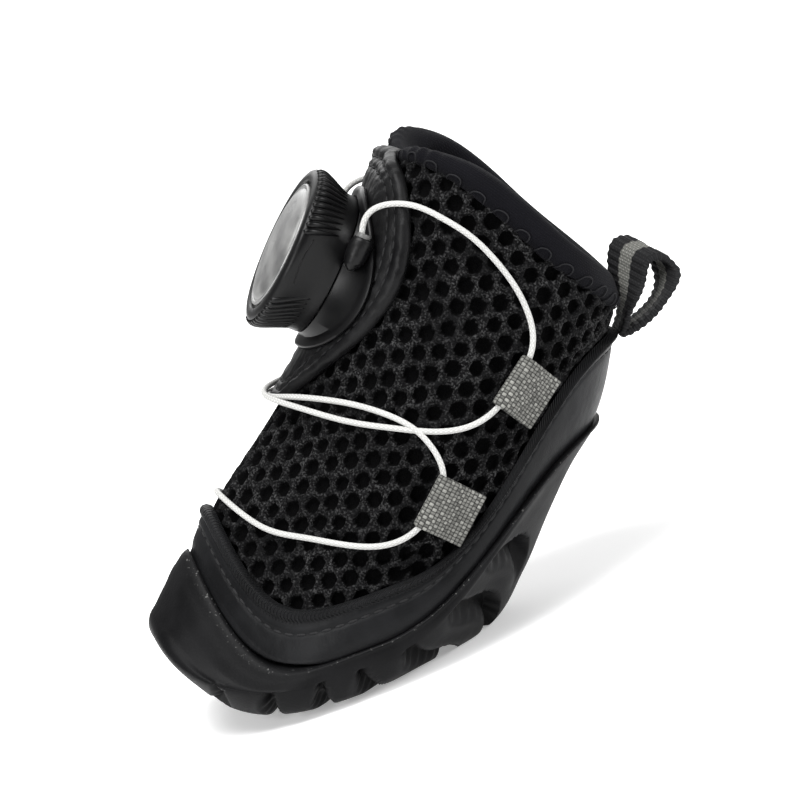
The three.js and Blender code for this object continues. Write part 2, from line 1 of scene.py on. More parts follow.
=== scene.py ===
"""Dog boot with a lace dial, stood on its sole. Metres, toe at -Y, +X the boot's left side, +Z up."""
import math

import bpy
import numpy as np
from mathutils import Matrix, Vector


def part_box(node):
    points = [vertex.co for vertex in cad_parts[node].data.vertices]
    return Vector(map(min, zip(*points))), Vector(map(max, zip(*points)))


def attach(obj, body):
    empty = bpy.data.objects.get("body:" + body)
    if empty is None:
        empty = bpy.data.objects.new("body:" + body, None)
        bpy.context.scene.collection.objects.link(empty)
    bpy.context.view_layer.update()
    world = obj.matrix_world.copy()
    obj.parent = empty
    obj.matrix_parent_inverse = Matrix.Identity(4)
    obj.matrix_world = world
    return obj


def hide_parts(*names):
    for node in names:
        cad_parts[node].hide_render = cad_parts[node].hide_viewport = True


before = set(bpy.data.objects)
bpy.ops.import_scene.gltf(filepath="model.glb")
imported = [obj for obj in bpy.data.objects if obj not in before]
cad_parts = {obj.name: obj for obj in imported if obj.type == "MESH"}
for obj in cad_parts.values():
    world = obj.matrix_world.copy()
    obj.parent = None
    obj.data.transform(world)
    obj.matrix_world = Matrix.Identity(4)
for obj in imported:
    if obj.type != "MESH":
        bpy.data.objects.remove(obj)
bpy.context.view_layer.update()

MM = 0.001

# ---- The boot's form, in millimetres -------------------------------------------------------------
def ring_of(toe, side, heel, blunt, trim=2.1, lean=0, peak=0):
    """A ring of the form: toe and heel are (y, z) on the middle plane, side is (x, y, z)."""
    return dict(toe=toe, side=side, heel=heel, blunt=blunt, trim=trim, lean=lean, peak=peak)


# the same rings as the solids
CUP_RINGS = [
    ring_of((-6.8, 0), (0.8, -6, 0), (-5.2, 0), 2, trim=2),
    ring_of((-28, 0.5), (17, -9, 0), (13, 0), 2.4, trim=2.2),
    ring_of((-35.9, 5.6), (23.6, -12, 0.7), (21, 6.3), 2.6),
    ring_of((-39.8, 12.2), (26.6, -12, 2.0), (28.5, 14.2), 2.6),
    ring_of((-42.5, 19.6), (28.4, -10, 4.8), (35, 20.6), 2.6),
    ring_of((-37.2, 26.2), (28.8, -8, 6.9), (40, 24.4), 3.1, peak=2),
    ring_of((-31.6, 30.0), (28.6, -8, 8.6), (42, 25.8), 3.1, peak=2),
]
UPPER_RINGS = [
    ring_of((-30.5, 8.6), (19.8, -9, 5.4), (14.5, 6.6), 2.6),
    ring_of((-37.6, 18.2), (25, -9, 7.6), (30.6, 20.4), 2.6),
    ring_of((-30, 28.4), (26.3, -8, 9.0), (39.8, 27), 3.0, peak=2),
    ring_of((-24.9, 35.0), (25.8, 0, 16.8), (48.4, 39.6), 3.2, peak=2),
    ring_of((-8.7, 47.3), (25.9, 8, 31), (49.1, 40.4), 2.4),
    ring_of((7.2, 61.3), (24.6, 22, 48.5), (49.7, 41.1), 2.1, lean=-0.6),
    ring_of((23.9, 79.0), (21.8, 37.3, 63.5), (50.2, 41.9), 2, trim=2.2, lean=-2.1),
    ring_of((27.2, 78.9), (22.4, 41.6, 67.3), (51.2, 50.1), 2, trim=2.2, lean=-1.9),
]
# levels on the two forms, counted in rings from the lowest
CUP_EDGE, CUP_NOSE, CUP_SHOULDER, CUP_RIM = 3, 4, 5, 6
SEAM, CAP, MOUTH, BRIM = 2, 3, 6, 7
HUB_Y = -6
ACROSS = np.array([1, 0, 0])
MIRROR = np.array([-1, 1, 1])


def ring_places(ring, turn):
    """Places on one ring: turn 0 at the toe, pi / 2 at the left side, pi at the heel."""
    along = np.cos(turn)
    across = np.sin(turn)
    to_toe = along > 0
    end_y = np.where(to_toe, ring["toe"][0], ring["heel"][0])
    end_z = np.where(to_toe, ring["toe"][1], ring["heel"][1])
    side_x, side_y, side_z = ring["side"]
    power = 2 / np.where(to_toe, ring["blunt"], ring["trim"])
    wide = np.abs(across) ** power
    reach = np.abs(along) ** power
    if ring["peak"]:
        toe_rise = (1 - np.clip(wide, 0, 1) ** 1.7) ** ring["peak"]
    else:
        toe_rise = 1 - np.clip(wide, 0, 1) ** 1.4
    rise = np.minimum(1, np.abs(along) * 1.04)
    lift = np.where(to_toe, toe_rise, rise * rise * (3 - 2 * rise))
    y = side_y + (end_y - side_y) * reach
    slope_rise = ring["lean"] * (end_y - side_y)
    z = side_z + ring["lean"] * (y - side_y) + (end_z - side_z - slope_rise) * lift
    return np.stack([side_x * wide * np.sign(across), y, z], axis=-1)


def spline_between(before, start, end, after, part):
    """Centripetal spline between two places, as the solids use."""
    def knot(p, q):
        return np.sum((p - q) ** 2, axis=-1, keepdims=True) ** 0.25
    middle = np.maximum(knot(start, end), 1e-4)
    first = knot(before, start)
    third = knot(end, after)
    first = np.where(first < 1e-4, middle, first)
    third = np.where(third < 1e-4, middle, third)
    leave = (start - before) / first - (end - before) / (first + middle) + (end - start) / middle
    arrive = (end - start) / middle - (after - start) / (middle + third) + (after - end) / third
    leave = leave * middle
    arrive = arrive * middle
    w = part[..., None]
    square = -3 * start + 3 * end - 2 * leave - arrive
    cube = 2 * start - 2 * end + leave + arrive
    return start + leave * w + square * w**2 + cube * w**3


NEAR = 0.02


class Form:
    """A surface through a family of rings, asked for places by turn, level and height over it."""

    def __init__(self, rings, lowest):
        self.rings = rings
        self.lowest = lowest
        self.last = len(rings) - 1

    def bare(self, turn, level):
        turn, level = np.broadcast_arrays(np.asarray(turn, float), np.asarray(level, float))
        shape = turn.shape
        turn = turn.ravel()
        level = np.clip(level.ravel(), 0, self.last)
        each = np.arange(turn.size)
        stack = np.stack([ring_places(ring, turn) for ring in self.rings])
        low = np.minimum(np.floor(level).astype(int), self.last - 1)
        start = stack[low, each]
        end = stack[low + 1, each]
        before = np.where((low > 0)[:, None], stack[np.maximum(low - 1, 0), each], 2 * start - end)
        high = np.minimum(low + 2, self.last)
        after = np.where((low + 2 <= self.last)[:, None], stack[high, each], 2 * end - start)
        spot = spline_between(before, start, end, after, level - low)
        spot[:, 2] = np.maximum(spot[:, 2], self.lowest)
        return spot.reshape(shape + (3,))

    def normal(self, turn, level):
        turn, level = np.broadcast_arrays(np.asarray(turn, float), np.asarray(level, float))
        low = np.maximum(level - NEAR, 0)
        high = np.minimum(level + NEAR, self.last)
        up = self.bare(turn, high) - self.bare(turn, low)
        round_it = self.bare(turn + NEAR, level) - self.bare(turn - NEAR, level)
        normal = np.cross(round_it, up)
        return normal / np.maximum(np.linalg.norm(normal, axis=-1, keepdims=True), 1e-9)

    def place(self, turn, level, out=0.0):
        out = np.asarray(out, float)
        return self.bare(turn, level) + self.normal(turn, level) * out[..., None]


cup = Form(CUP_RINGS, 0)
upper = Form(UPPER_RINGS, 5)


def full_turn(columns):
    return np.linspace(-math.pi, math.pi, columns + 1)


# The solids stand with their overall box centred, so the form's own middle is moved to match.
all_levels = np.linspace(0, cup.last, 61)
toe_most = cup.bare(full_turn(360)[None, :], all_levels[:, None])[..., 1].min()
SHIFT = np.array([0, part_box("outsole")[0].y / MM - toe_most, 0])


def smooth(low, high, value):
    part = np.clip((value - low) / (high - low), 0, 1)
    return part * part * (3 - 2 * part)


def run_lengths(grid, axis):
    """Length from the first row or column of a grid of places, along it."""
    steps = np.linalg.norm(np.diff(grid, axis=axis), axis=-1)
    zero = np.zeros_like(np.take(steps, [0], axis=axis))
    return np.cumsum(np.concatenate([zero, steps], axis=axis), axis=axis)


def unit(vectors):
    return vectors / np.linalg.norm(vectors, axis=-1, keepdims=True)


def read_off(values, run, at):
    """Values along a line, read at lengths along it."""
    return np.stack([np.interp(at, run, values[:, k]) for k in range(3)], axis=-1)


def smooth_line(points, count, closed=False):
    """Evenly spaced places on a centripetal spline through a few points."""
    points = np.asarray(points, float)
    if closed:
        ring = np.concatenate([points[-1:], points, points[:2]])
    else:
        ring = np.concatenate([2 * points[:1] - points[1:2], points, 2 * points[-1:] - points[-2:-1]])
    pieces = []
    fine = np.linspace(0, 1, 24, endpoint=False)
    for i in range(len(ring) - 3):
        four = [np.repeat(ring[i + k][None], fine.size, axis=0) for k in range(4)]
        pieces.append(spline_between(*four, fine))
    pieces.append(ring[-2][None])
    line = np.concatenate(pieces)
    run = run_lengths(line, 0)
    return read_off(line, run, np.linspace(0, run[-1], count))


# ---- Camera, floor and light ---------------------------------------------------------------------
AZIMUTH = math.radians(86)
ELEVATION = math.radians(11.5)
ROLL = math.radians(20.5)
DISTANCE = 1.5
SHOWN = 0.136
SENSOR = 36
AIM = Vector((0, 0, 0.04))

to_camera = Vector(
    (
        math.sin(AZIMUTH) * math.cos(ELEVATION),
        -math.cos(AZIMUTH) * math.cos(ELEVATION),
        math.sin(ELEVATION),
    )
)
level_right = Vector((math.cos(AZIMUTH), math.sin(AZIMUTH), 0))
level_up = to_camera.cross(level_right)
camera_right = level_right * math.cos(ROLL) - level_up * math.sin(ROLL)
camera_up = level_right * math.sin(ROLL) + level_up * math.cos(ROLL)
target = Vector((0, 0.0005, 0.0405))
turn_matrix = Matrix((camera_right, camera_up, to_camera)).transposed()
bpy.ops.object.select_all(action="DESELECT")
bpy.ops.object.camera_add(location=target + to_camera * DISTANCE)
camera = bpy.context.object
camera.rotation_euler = turn_matrix.to_euler()
camera.data.sensor_width = SENSOR
camera.data.lens = SENSOR * DISTANCE / SHOWN
camera.data.clip_start = 0.05
camera.data.clip_end = 20
bpy.context.scene.camera = camera


def area_light(name, spot, size, power):
    bpy.ops.object.light_add(type="AREA", location=spot)
    lamp = bpy.context.object
    lamp.name = name
    lamp.data.shape = "SQUARE"
    lamp.data.size = size
    lamp.data.energy = power
    lamp.rotation_euler = (AIM - Vector(spot)).to_track_quat("-Z", "Y").to_euler()


area_light("top_softbox", (0.2, -0.1, 0.75), 0.5, 9)
area_light("front_softbox", (0.75, -0.75, 0.45), 0.5, 7)
area_light("heel_softbox", (0.4, 0.9, 0.4), 0.4, 7)
area_light("far_softbox", (-0.8, 0.1, 0.5), 0.7, 4)

world = bpy.data.worlds.new("studio")
bpy.context.scene.world = world
world.use_nodes = True
# the sky is brighter to the camera than to the boot
sky = world.node_tree.nodes["Background"]
sky.inputs["Color"].default_value = (1, 1, 1, 1)
light_path = world.node_tree.nodes.new("ShaderNodeLightPath")
sky_strength = world.node_tree.nodes.new("ShaderNodeMapRange")
sky_strength.inputs["To Min"].default_value = 0.32
sky_strength.inputs["To Max"].default_value = 0.97
world.node_tree.links.new(light_path.outputs["Is Camera Ray"], sky_strength.inputs["Value"])
world.node_tree.links.new(sky_strength.outputs["Result"], sky.inputs["Strength"])
bpy.context.scene.view_settings.view_transform = "Standard"


# ---- Materials -----------------------------------------------------------------------------------
DULL = 0.1


def new_material(name, colour, roughness, **settings):
    material = bpy.data.materials.new(name)
    material.use_nodes = True
    shader = material.node_tree.nodes["Principled BSDF"]
    shader.inputs["Base Color"].default_value = (*colour, 1)
    shader.inputs["Roughness"].default_value = roughness
    shader.inputs["Specular IOR Level"].default_value = DULL
    for key, value in settings.items():
        shader.inputs[key.replace("_", " ")].default_value = value
    return material


def wire(tree, source, target):
    tree.links.new(source, target)


def feed(tree, value, socket):
    """Gives a socket another node's output, or a plain value."""
    if isinstance(value, bpy.types.NodeSocket):
        wire(tree, value, socket)
    else:
        socket.default_value = value


def add_node(tree, kind, inputs=None, **settings):
    made = tree.nodes.new(kind)
    for key, value in settings.items():
        setattr(made, key, value)
    for key, value in (inputs or {}).items():
        feed(tree, value, made.inputs[key])
    return made


def maths(tree, operation, first, second=None, third=None):
    inputs = {0: first}
    if second is not None:
        inputs[1] = second
    if third is not None:
        inputs[2] = third
    return add_node(tree, "ShaderNodeMath", inputs, operation=operation).outputs[0]


def mixed(tree, factor, first, second):
    """One colour turning into another as factor goes from 0 to 1."""
    made = add_node(tree, "ShaderNodeMix", data_type="RGBA")
    for index, value in ((0, factor), (6, first), (7, second)):
        feed(tree, (*value, 1) if isinstance(value, tuple) else value, made.inputs[index])
    return made.outputs[2]


def spread(tree, value, low, high, to_low, to_high):
    inputs = {"Value": value, "From Min": low, "From Max": high, "To Min": to_low, "To Max": to_high}
    return add_node(tree, "ShaderNodeMapRange", inputs).outputs["Result"]


def noise(tree, where, scale, detail=2.0, distortion=0.0):
    """Cloudy noise from 0 to 1."""
    inputs = {"Vector": where, "Scale": scale, "Detail": detail, "Distortion": distortion}
    return add_node(tree, "ShaderNodeTexNoise", inputs).outputs["Fac"]


def axes_of(tree, where):
    return add_node(tree, "ShaderNodeSeparateXYZ", {"Vector": where}).outputs


def new_group(name, inputs, outputs):
    tree = bpy.data.node_groups.new(name, "ShaderNodeTree")
    for label, kind, value in inputs:
        socket = tree.interface.new_socket(label, in_out="INPUT", socket_type=kind)
        if value is not None:
            socket.default_value = value
    for label, kind in outputs:
        tree.interface.new_socket(label, in_out="OUTPUT", socket_type=kind)
    return tree, add_node(tree, "NodeGroupInput"), add_node(tree, "NodeGroupOutput")


FLOAT, VECTOR = "NodeSocketFloat", "NodeSocketVector"


def grain_group():
    """Fine moulded grain, with broad patches for shade and shine."""
    tree, given, result = new_group(
        "moulded_grain",
        [("Vector", VECTOR, None), ("Fine", FLOAT, 2600.0), ("Broad", FLOAT, 160.0)],
        [("Height", FLOAT), ("Patches", FLOAT)],
    )
    where = given.outputs["Vector"]
    fine = noise(tree, where, given.outputs["Fine"], 3.0)
    broad = noise(tree, where, given.outputs["Broad"], 4.0)
    cells = add_node(tree, "ShaderNodeTexVoronoi", {"Vector": where, "Scale": given.outputs["Fine"]})
    wire(tree, maths(tree, "ADD", fine, cells.outputs["Distance"]), result.inputs["Height"])
    wire(tree, spread(tree, broad, 0.35, 0.7, 0.0, 1.0), result.inputs["Patches"])
    return tree


def weave_group():
    """Plain weave on a map in millimetres: yarns Across and Along apart, over and under in turn."""
    tree, given, result = new_group(
        "plain_weave",
        [("Vector", VECTOR, None), ("Across", FLOAT, 0.8), ("Along", FLOAT, 0.8)],
        [("Height", FLOAT), ("Over", FLOAT), ("Yarn", FLOAT)],
    )
    axes = axes_of(tree, given.outputs["Vector"])
    across = maths(tree, "DIVIDE", axes["X"], given.outputs["Across"])
    along = maths(tree, "DIVIDE", axes["Y"], given.outputs["Along"])
    bumps = []
    cells = []
    for value in (across, along):
        wave = maths(tree, "SINE", maths(tree, "MULTIPLY", value, math.pi))
        bumps.append(maths(tree, "ABSOLUTE", wave))
        cells.append(maths(tree, "FLOOR", value))
    parity = maths(tree, "FLOORED_MODULO", maths(tree, "ADD", cells[0], cells[1]), 2.0)
    warp = maths(tree, "MULTIPLY", bumps[0], maths(tree, "SQRT", bumps[1]))
    weft = maths(tree, "MULTIPLY", maths(tree, "SQRT", bumps[0]), bumps[1])
    lowered = maths(tree, "MULTIPLY", weft, 0.62)
    height = add_node(tree, "ShaderNodeMix", data_type="FLOAT")
    wire(tree, parity, height.inputs[0])
    wire(tree, warp, height.inputs[2])
    wire(tree, lowered, height.inputs[3])
    wire(tree, height.outputs[0], result.inputs["Height"])
    wire(tree, parity, result.inputs["Over"])
    where = add_node(tree, "ShaderNodeCombineXYZ", {"X": cells[0], "Y": cells[1]})
    chance = add_node(tree, "ShaderNodeTexWhiteNoise", {"Vector": where.outputs[0]})
    wire(tree, chance.outputs["Value"], result.inputs["Yarn"])
    return tree


GRAIN = grain_group()
WEAVE = weave_group()


def use_group(tree, group, inputs):
    made = add_node(tree, "ShaderNodeGroup")
    made.node_tree = group
    for key, value in inputs.items():
        feed(tree, value, made.inputs[key])
    return made.outputs


def place_of(tree, kind="Object"):
    return add_node(tree, "ShaderNodeTexCoord").outputs[kind]


def grain_of(tree, fine, broad):
    return use_group(tree, GRAIN, {"Vector": place_of(tree), "Fine": fine, "Broad": broad})


def weave_of(tree, where, across, along):
    return use_group(tree, WEAVE, {"Vector": where, "Across": across, "Along": along})


def attribute(tree, name):
    return add_node(tree, "ShaderNodeAttribute", attribute_name=name).outputs["Fac"]


def bump_into(tree, height, strength, distance, base=None):
    inputs = {"Strength": strength, "Distance": distance, "Height": height}
    made = add_node(tree, "ShaderNodeBump", inputs)
    if base is not None:
        wire(tree, base, made.inputs["Normal"])
    wire(tree, made.outputs["Normal"], tree.nodes["Principled BSDF"].inputs["Normal"])
    return made.outputs["Normal"]


def paint(tree, colour):
    wire(tree, colour, tree.nodes["Principled BSDF"].inputs["Base Color"])


def rough(tree, value):
    wire(tree, value, tree.nodes["Principled BSDF"].inputs["Roughness"])


def rubber_material():
    """Matte moulded rubber, paler where the lugs rub, with glue specks along the top seam, and painted
    shade darkening the tread's grooves.
    """
    material = new_material("moulded_rubber", (0.003, 0.003, 0.0035), 0.55, Specular_IOR_Level=0.085)
    tree = material.node_tree
    grain = grain_of(tree, 2200.0, 120.0)
    rubbed = maths(tree, "MULTIPLY", attribute(tree, "rubbed"), grain["Patches"])
    base = mixed(tree, grain["Patches"], (0.0025, 0.0025, 0.0028), (0.006, 0.006, 0.0065))
    worn = mixed(tree, rubbed, base, (0.013, 0.013, 0.0135))
    # painted shade: the grooves are painted darker the deeper they are sunk
    sunk = mixed(tree, attribute(tree, "sunk"), worn, (0.0012, 0.0012, 0.0014))
    fleck = spread(tree, noise(tree, place_of(tree), 2000.0), 0.645, 0.68, 0.0, 1.0)
    glued = maths(tree, "MULTIPLY", fleck, attribute(tree, "seam"))
    paint(tree, mixed(tree, glued, sunk, (0.1, 0.1, 0.097)))
    rough(tree, spread(tree, grain["Patches"], 0.0, 1.0, 0.44, 0.62))
    bump_into(tree, grain["Height"], 0.25, 0.00008)
    return material


def leather_material(name, dark, pale, shine, crease):
    """Smooth synthetic leather: fine grain, soft creases and a satin surface."""
    material = new_material(name, dark, shine, Specular_IOR_Level=0.11)
    tree = material.node_tree
    where = place_of(tree)
    grain = grain_of(tree, 3200.0, 90.0)
    paint(tree, mixed(tree, grain["Patches"], dark, pale))
    rough(tree, spread(tree, grain["Patches"], 0.0, 1.0, shine - 0.06, shine + 0.1))
    dents = bump_into(tree, noise(tree, where, 95.0, 3.0), 0.5, 0.0012)
    first = bump_into(tree, noise(tree, where, 260.0, 2.0, 0.8), crease, 0.0004, dents)
    bump_into(tree, grain["Height"], 0.3, 0.00006, first)
    return material


def ripples(tree, axis, pitch):
    """A wave along one axis of a piece's own map, in millimetres."""
    along = axes_of(tree, place_of(tree, "UV"))[axis]
    return maths(tree, "SINE", maths(tree, "MULTIPLY", along, 2 * math.pi / pitch))


def binding_material():
    """The rand's leather, with fine cross ribs where it is rolled over at its top edge."""
    dark, pale = (0.0035, 0.0036, 0.004), (0.0075, 0.0077, 0.0085)
    material = leather_material("rand_leather_ribbed", dark, pale, 0.45, 0.25)
    tree = material.node_tree
    wave = ripples(tree, "X", 0.72)
    ribs = maths(tree, "MULTIPLY", wave, attribute(tree, "rolled"))
    last = tree.nodes["Principled BSDF"].inputs["Normal"].links[0].from_socket
    bump_into(tree, ribs, 0.8, 0.00016, last)
    return material


def net_material():
    """Fuzzy grey-black yarn round holes painted near-black: partly the dark lining behind them, partly
    painted shade inside them.
    """
    material = new_material("open_mesh_yarn", (0.012, 0.012, 0.012), 0.8, Specular_IOR_Level=0.04)
    tree = material.node_tree
    where = place_of(tree)
    fuzz = noise(tree, where, 2600.0, 4.0)
    strands = noise(tree, where, 1000.0, 2.0, 1.6)
    hole = spread(tree, attribute(tree, "hole"), 0.1, 0.45, 0.0, 1.0)
    zones = spread(tree, noise(tree, where, 160.0, 3.0), 0.35, 0.65, 0.35, 1.0)
    lit_fuzz = maths(tree, "MULTIPLY", spread(tree, fuzz, 0.46, 0.64, 0.0, 1.0), zones)
    yarn = mixed(tree, lit_fuzz, (0.0022, 0.0022, 0.0024), (0.046, 0.046, 0.0465))
    between = spread(tree, strands, 0.46, 0.6, 0.0, 0.85)
    lit = mixed(tree, between, yarn, (0.004, 0.004, 0.0043))
    # painted shade: the hole bottoms are painted near-black for the dark lining and the shade in the
    # holes
    paint(tree, mixed(tree, hole, lit, (0.0004, 0.0004, 0.0005)))
    first = bump_into(tree, strands, 0.8, 0.00035)
    bump_into(tree, fuzz, 0.8, 0.0002, first)
    return material


def knit_material(name, dark, pale, pitch, depth):
    """Fine knit or plain cloth, with its yarns on the piece's own map: random patches of tone, and
    painted shade where the weave dips between the yarns.
    """
    sheen = dict(Sheen_Weight=0.015, Sheen_Roughness=0.45)
    material = new_material(name, dark, 0.75, Specular_IOR_Level=0.06, **sheen)
    tree = material.node_tree
    weave = weave_of(tree, place_of(tree, "UV"), pitch, pitch * 1.3)
    patches = grain_of(tree, 2600.0, 140.0)
    # painted shade: the weave's low parts are painted darker, mixed with random patches of tone
    weave_part = maths(tree, "MULTIPLY", weave["Height"], 0.6)
    shade = maths(tree, "MULTIPLY_ADD", patches["Patches"], 0.4, weave_part)
    paint(tree, mixed(tree, shade, dark, pale))
    first = bump_into(tree, patches["Patches"], 0.2, 0.0003)
    bump_into(tree, weave["Height"], depth, 0.00012, first)
    return material


def webbing_material():
    """Salt-and-pepper webbing: each float of yarn has its own grey, with painted shade where the yarns
    dip under.
    """
    material = new_material("flecked_webbing", (0.1, 0.1, 0.1), 0.75)
    tree = material.node_tree
    weave = weave_of(tree, place_of(tree, "UV"), 0.74, 0.6)
    grey = spread(tree, weave["Yarn"], 0.0, 1.0, 0.5, 1.0)
    tone = maths(tree, "MULTIPLY", grey, spread(tree, weave["Over"], 0.0, 1.0, 1.0, 0.6))
    # painted shade: low parts of the weave are painted dark
    lit = maths(tree, "MULTIPLY", tone, spread(tree, weave["Height"], 0.02, 0.45, 0.05, 1.0))
    paint(tree, mixed(tree, lit, (0.008, 0.008, 0.008), (0.25, 0.25, 0.232)))
    bump_into(tree, weave["Height"], 1.0, 0.0003)
    return material


def grosgrain_material():
    """Black ribbed tape with a grey stripe along its middle, and painted shade in the hollows between
    its ribs.
    """
    material = new_material("striped_grosgrain", (0.008, 0.008, 0.009), 0.7)
    tree = material.node_tree
    from_middle = maths(tree, "ABSOLUTE", axes_of(tree, place_of(tree, "UV"))["Y"])
    stripe = spread(tree, from_middle, 1.45, 1.35, 0.0, 1.0)
    weave = weave_of(tree, place_of(tree, "UV"), 0.48, 0.42)
    # painted shade: both colours are painted darker where the weave is low
    black = mixed(tree, weave["Height"], (0.004, 0.004, 0.0045), (0.016, 0.016, 0.017))
    grey = mixed(tree, weave["Height"], (0.05, 0.05, 0.046), (0.2, 0.2, 0.185))
    paint(tree, mixed(tree, stripe, black, grey))
    bump_into(tree, weave["Height"], 0.6, 0.00015)
    return material


def cord_material():
    """White braided cord: two sets of yarns wound round it, painted grey where they dip as painted
    shade.
    """
    material = new_material("white_braid", (0.5, 0.5, 0.49), 0.5)
    tree = material.node_tree
    axes = axes_of(tree, place_of(tree, "UV"))
    wound = maths(tree, "MULTIPLY", axes["Y"], 1.6)
    first = maths(tree, "ADD", axes["X"], wound)
    second = maths(tree, "SUBTRACT", axes["X"], wound)
    where = add_node(tree, "ShaderNodeCombineXYZ", {"X": first, "Y": second})
    weave = weave_of(tree, where.outputs[0], 0.84, 0.84)
    # painted shade: the braid is painted grey in its low parts and white on its crowns
    paint(tree, mixed(tree, weave["Height"], (0.32, 0.32, 0.31), (0.56, 0.56, 0.545)))
    bump_into(tree, weave["Height"], 0.25, 0.00006)
    return material


def plastic_material(name, dark, pale, shine):
    """Moulded plastic, its grain rubbed paler in patches."""
    material = new_material(name, dark, shine, Specular_IOR_Level=0.17)
    tree = material.node_tree
    grain = grain_of(tree, 4200.0, 110.0)
    rub = maths(tree, "MULTIPLY", grain["Patches"], 0.7)
    paint(tree, mixed(tree, rub, dark, pale))
    rough(tree, spread(tree, grain["Patches"], 0.0, 1.0, shine, shine + 0.14))
    bump_into(tree, grain["Height"], 0.12, 0.00004)
    return material


def silver_material():
    """Silver-grey satin paint, clouded, with faint turned rings on the disc's own map."""
    material = new_material("silver_satin", (0.3, 0.3, 0.3), 0.35, Metallic=0.75)
    tree = material.node_tree
    grain = grain_of(tree, 5200.0, 210.0)
    rings = ripples(tree, "Y", 0.55)
    paint(tree, mixed(tree, grain["Patches"], (0.2, 0.2, 0.2), (0.32, 0.32, 0.315)))
    rough(tree, spread(tree, grain["Patches"], 0.0, 1.0, 0.28, 0.5))
    first = bump_into(tree, rings, 0.25, 0.00004)
    bump_into(tree, grain["Height"], 0.2, 0.00005, first)
    return material


def thread_material(name, dark, pale):
    """Sewing thread."""
    material = new_material(name, dark, 0.7)
    tree = material.node_tree
    twist = noise(tree, place_of(tree), 4200.0)
    paint(tree, mixed(tree, twist, dark, pale))
    bump_into(tree, twist, 0.5, 0.0001)
    return material


def floor_material():
    glow = dict(Emission_Color=(1, 1, 1, 1), Emission_Strength=0.3)
    material = new_material("pale_floor", (0.88, 0.88, 0.88), 0.7, **glow)
    tree = material.node_tree
    cloud = noise(tree, place_of(tree), 3.0)
    paint(tree, mixed(tree, cloud, (0.86, 0.86, 0.86), (0.9, 0.9, 0.9)))
    return material


RUBBER = rubber_material()
RAND = binding_material()
PATCH = leather_material(
    "patch_leather_grained", (0.0035, 0.0035, 0.0038), (0.0085, 0.0085, 0.0088), 0.42, 0.6
)
NET = net_material()
LINING = knit_material("lining_knit", (0.002, 0.002, 0.0024), (0.006, 0.006, 0.007), 0.7, 0.5)
COLLAR = knit_material("collar_knit", (0.0014, 0.0014, 0.0023), (0.0042, 0.0042, 0.006), 0.34, 0.6)
INSOLE = knit_material("insole_knit", (0.008, 0.008, 0.009), (0.02, 0.02, 0.022), 0.8, 0.6)
WEBBING = webbing_material()
TAPE = grosgrain_material()
CORD = cord_material()
BLACK_PLASTIC = plastic_material("dial_black", (0.0015, 0.0015, 0.0017), (0.0045, 0.0045, 0.0047), 0.3)
GRIP_PLASTIC = plastic_material("dial_grip", (0.0018, 0.0018, 0.002), (0.005, 0.005, 0.0052), 0.3)
SMOKE_PLASTIC = plastic_material("ferrule_smoke", (0.05, 0.05, 0.05), (0.16, 0.16, 0.155), 0.2)
SILVER = silver_material()
PATCH_THREAD = thread_material("patch_thread", (0.004, 0.004, 0.0043), (0.03, 0.03, 0.031))
PALE_THREAD = thread_material("grey_thread", (0.003, 0.003, 0.0036), (0.02, 0.02, 0.022))


# ---- Making pieces -------------------------------------------------------------------------------
def only(piece):
    bpy.ops.object.select_all(action="DESELECT")
    piece.select_set(True)
    bpy.context.view_layer.objects.active = piece


def dress(piece, name, material, replaces=(), smooth_angle=None):
    """Names a finished piece, gives it its finish and puts it on the boot."""
    piece.name = name
    piece.data.name = name
    piece.data.materials.clear()
    piece.data.materials.append(material)
    only(piece)
    bpy.ops.object.shade_smooth()
    if smooth_angle is not None:
        bpy.ops.object.shade_smooth_by_angle(angle=math.radians(smooth_angle))
    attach(piece, "root")
    if replaces:
        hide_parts(*replaces)


def wrapped(grid, uv, marks=None):
    """A flat grid drawn over rows and columns of places, with its doubles merged.

    grid is rows x columns x 3, in millimetres on the form. uv is its map in millimetres. Each of
    marks is a number from 0 to 1 at every place, by name, for the finish to read.
    """
    rows, columns = grid.shape[0] - 1, grid.shape[1] - 1
    bpy.ops.object.select_all(action="DESELECT")
    bpy.ops.mesh.primitive_grid_add(x_subdivisions=columns, y_subdivisions=rows, size=1)
    piece = bpy.context.object
    mesh = piece.data
    count = len(mesh.vertices)
    flat = np.empty(count * 3)
    mesh.vertices.foreach_get("co", flat)
    flat = flat.reshape(-1, 3)
    i = np.rint((flat[:, 0] + 0.5) * columns).astype(int)
    j = np.rint((flat[:, 1] + 0.5) * rows).astype(int)
    places = (grid[j, i] + SHIFT) * MM
    mesh.vertices.foreach_set("co", places.ravel())
    corners = np.empty(len(mesh.loops), int)
    mesh.loops.foreach_get("vertex_index", corners)
    mesh.uv_layers.active.data.foreach_set("uv", uv[j, i][corners].ravel())
    for name, values in (marks or {}).items():
        layer = mesh.attributes.new(name, "FLOAT", "POINT")
        layer.data.foreach_set("value", values[j, i].astype(float))
    mesh.update()
    bpy.ops.object.mode_set(mode="EDIT")
    bpy.ops.mesh.select_all(action="SELECT")
    bpy.ops.mesh.remove_doubles(threshold=1e-6)
    bpy.ops.mesh.normals_make_consistent(inside=False)
    bpy.ops.object.mode_set(mode="OBJECT")
    return piece


def map_of(grid, middle=None):
    """A map in millimetres: along the columns, measured from the middle column, and along the rows."""
    along = run_lengths(grid, 1)
    if middle is not None:
        along = along - along[:, middle : middle + 1]
    return np.stack([along, run_lengths(grid, 0)], axis=-1)


def joined(pieces):
    bpy.ops.object.select_all(action="DESELECT")
    for piece in pieces:
        piece.select_set(True)
    bpy.context.view_layer.objects.active = pieces[0]
    bpy.ops.object.join()
    return bpy.context.object


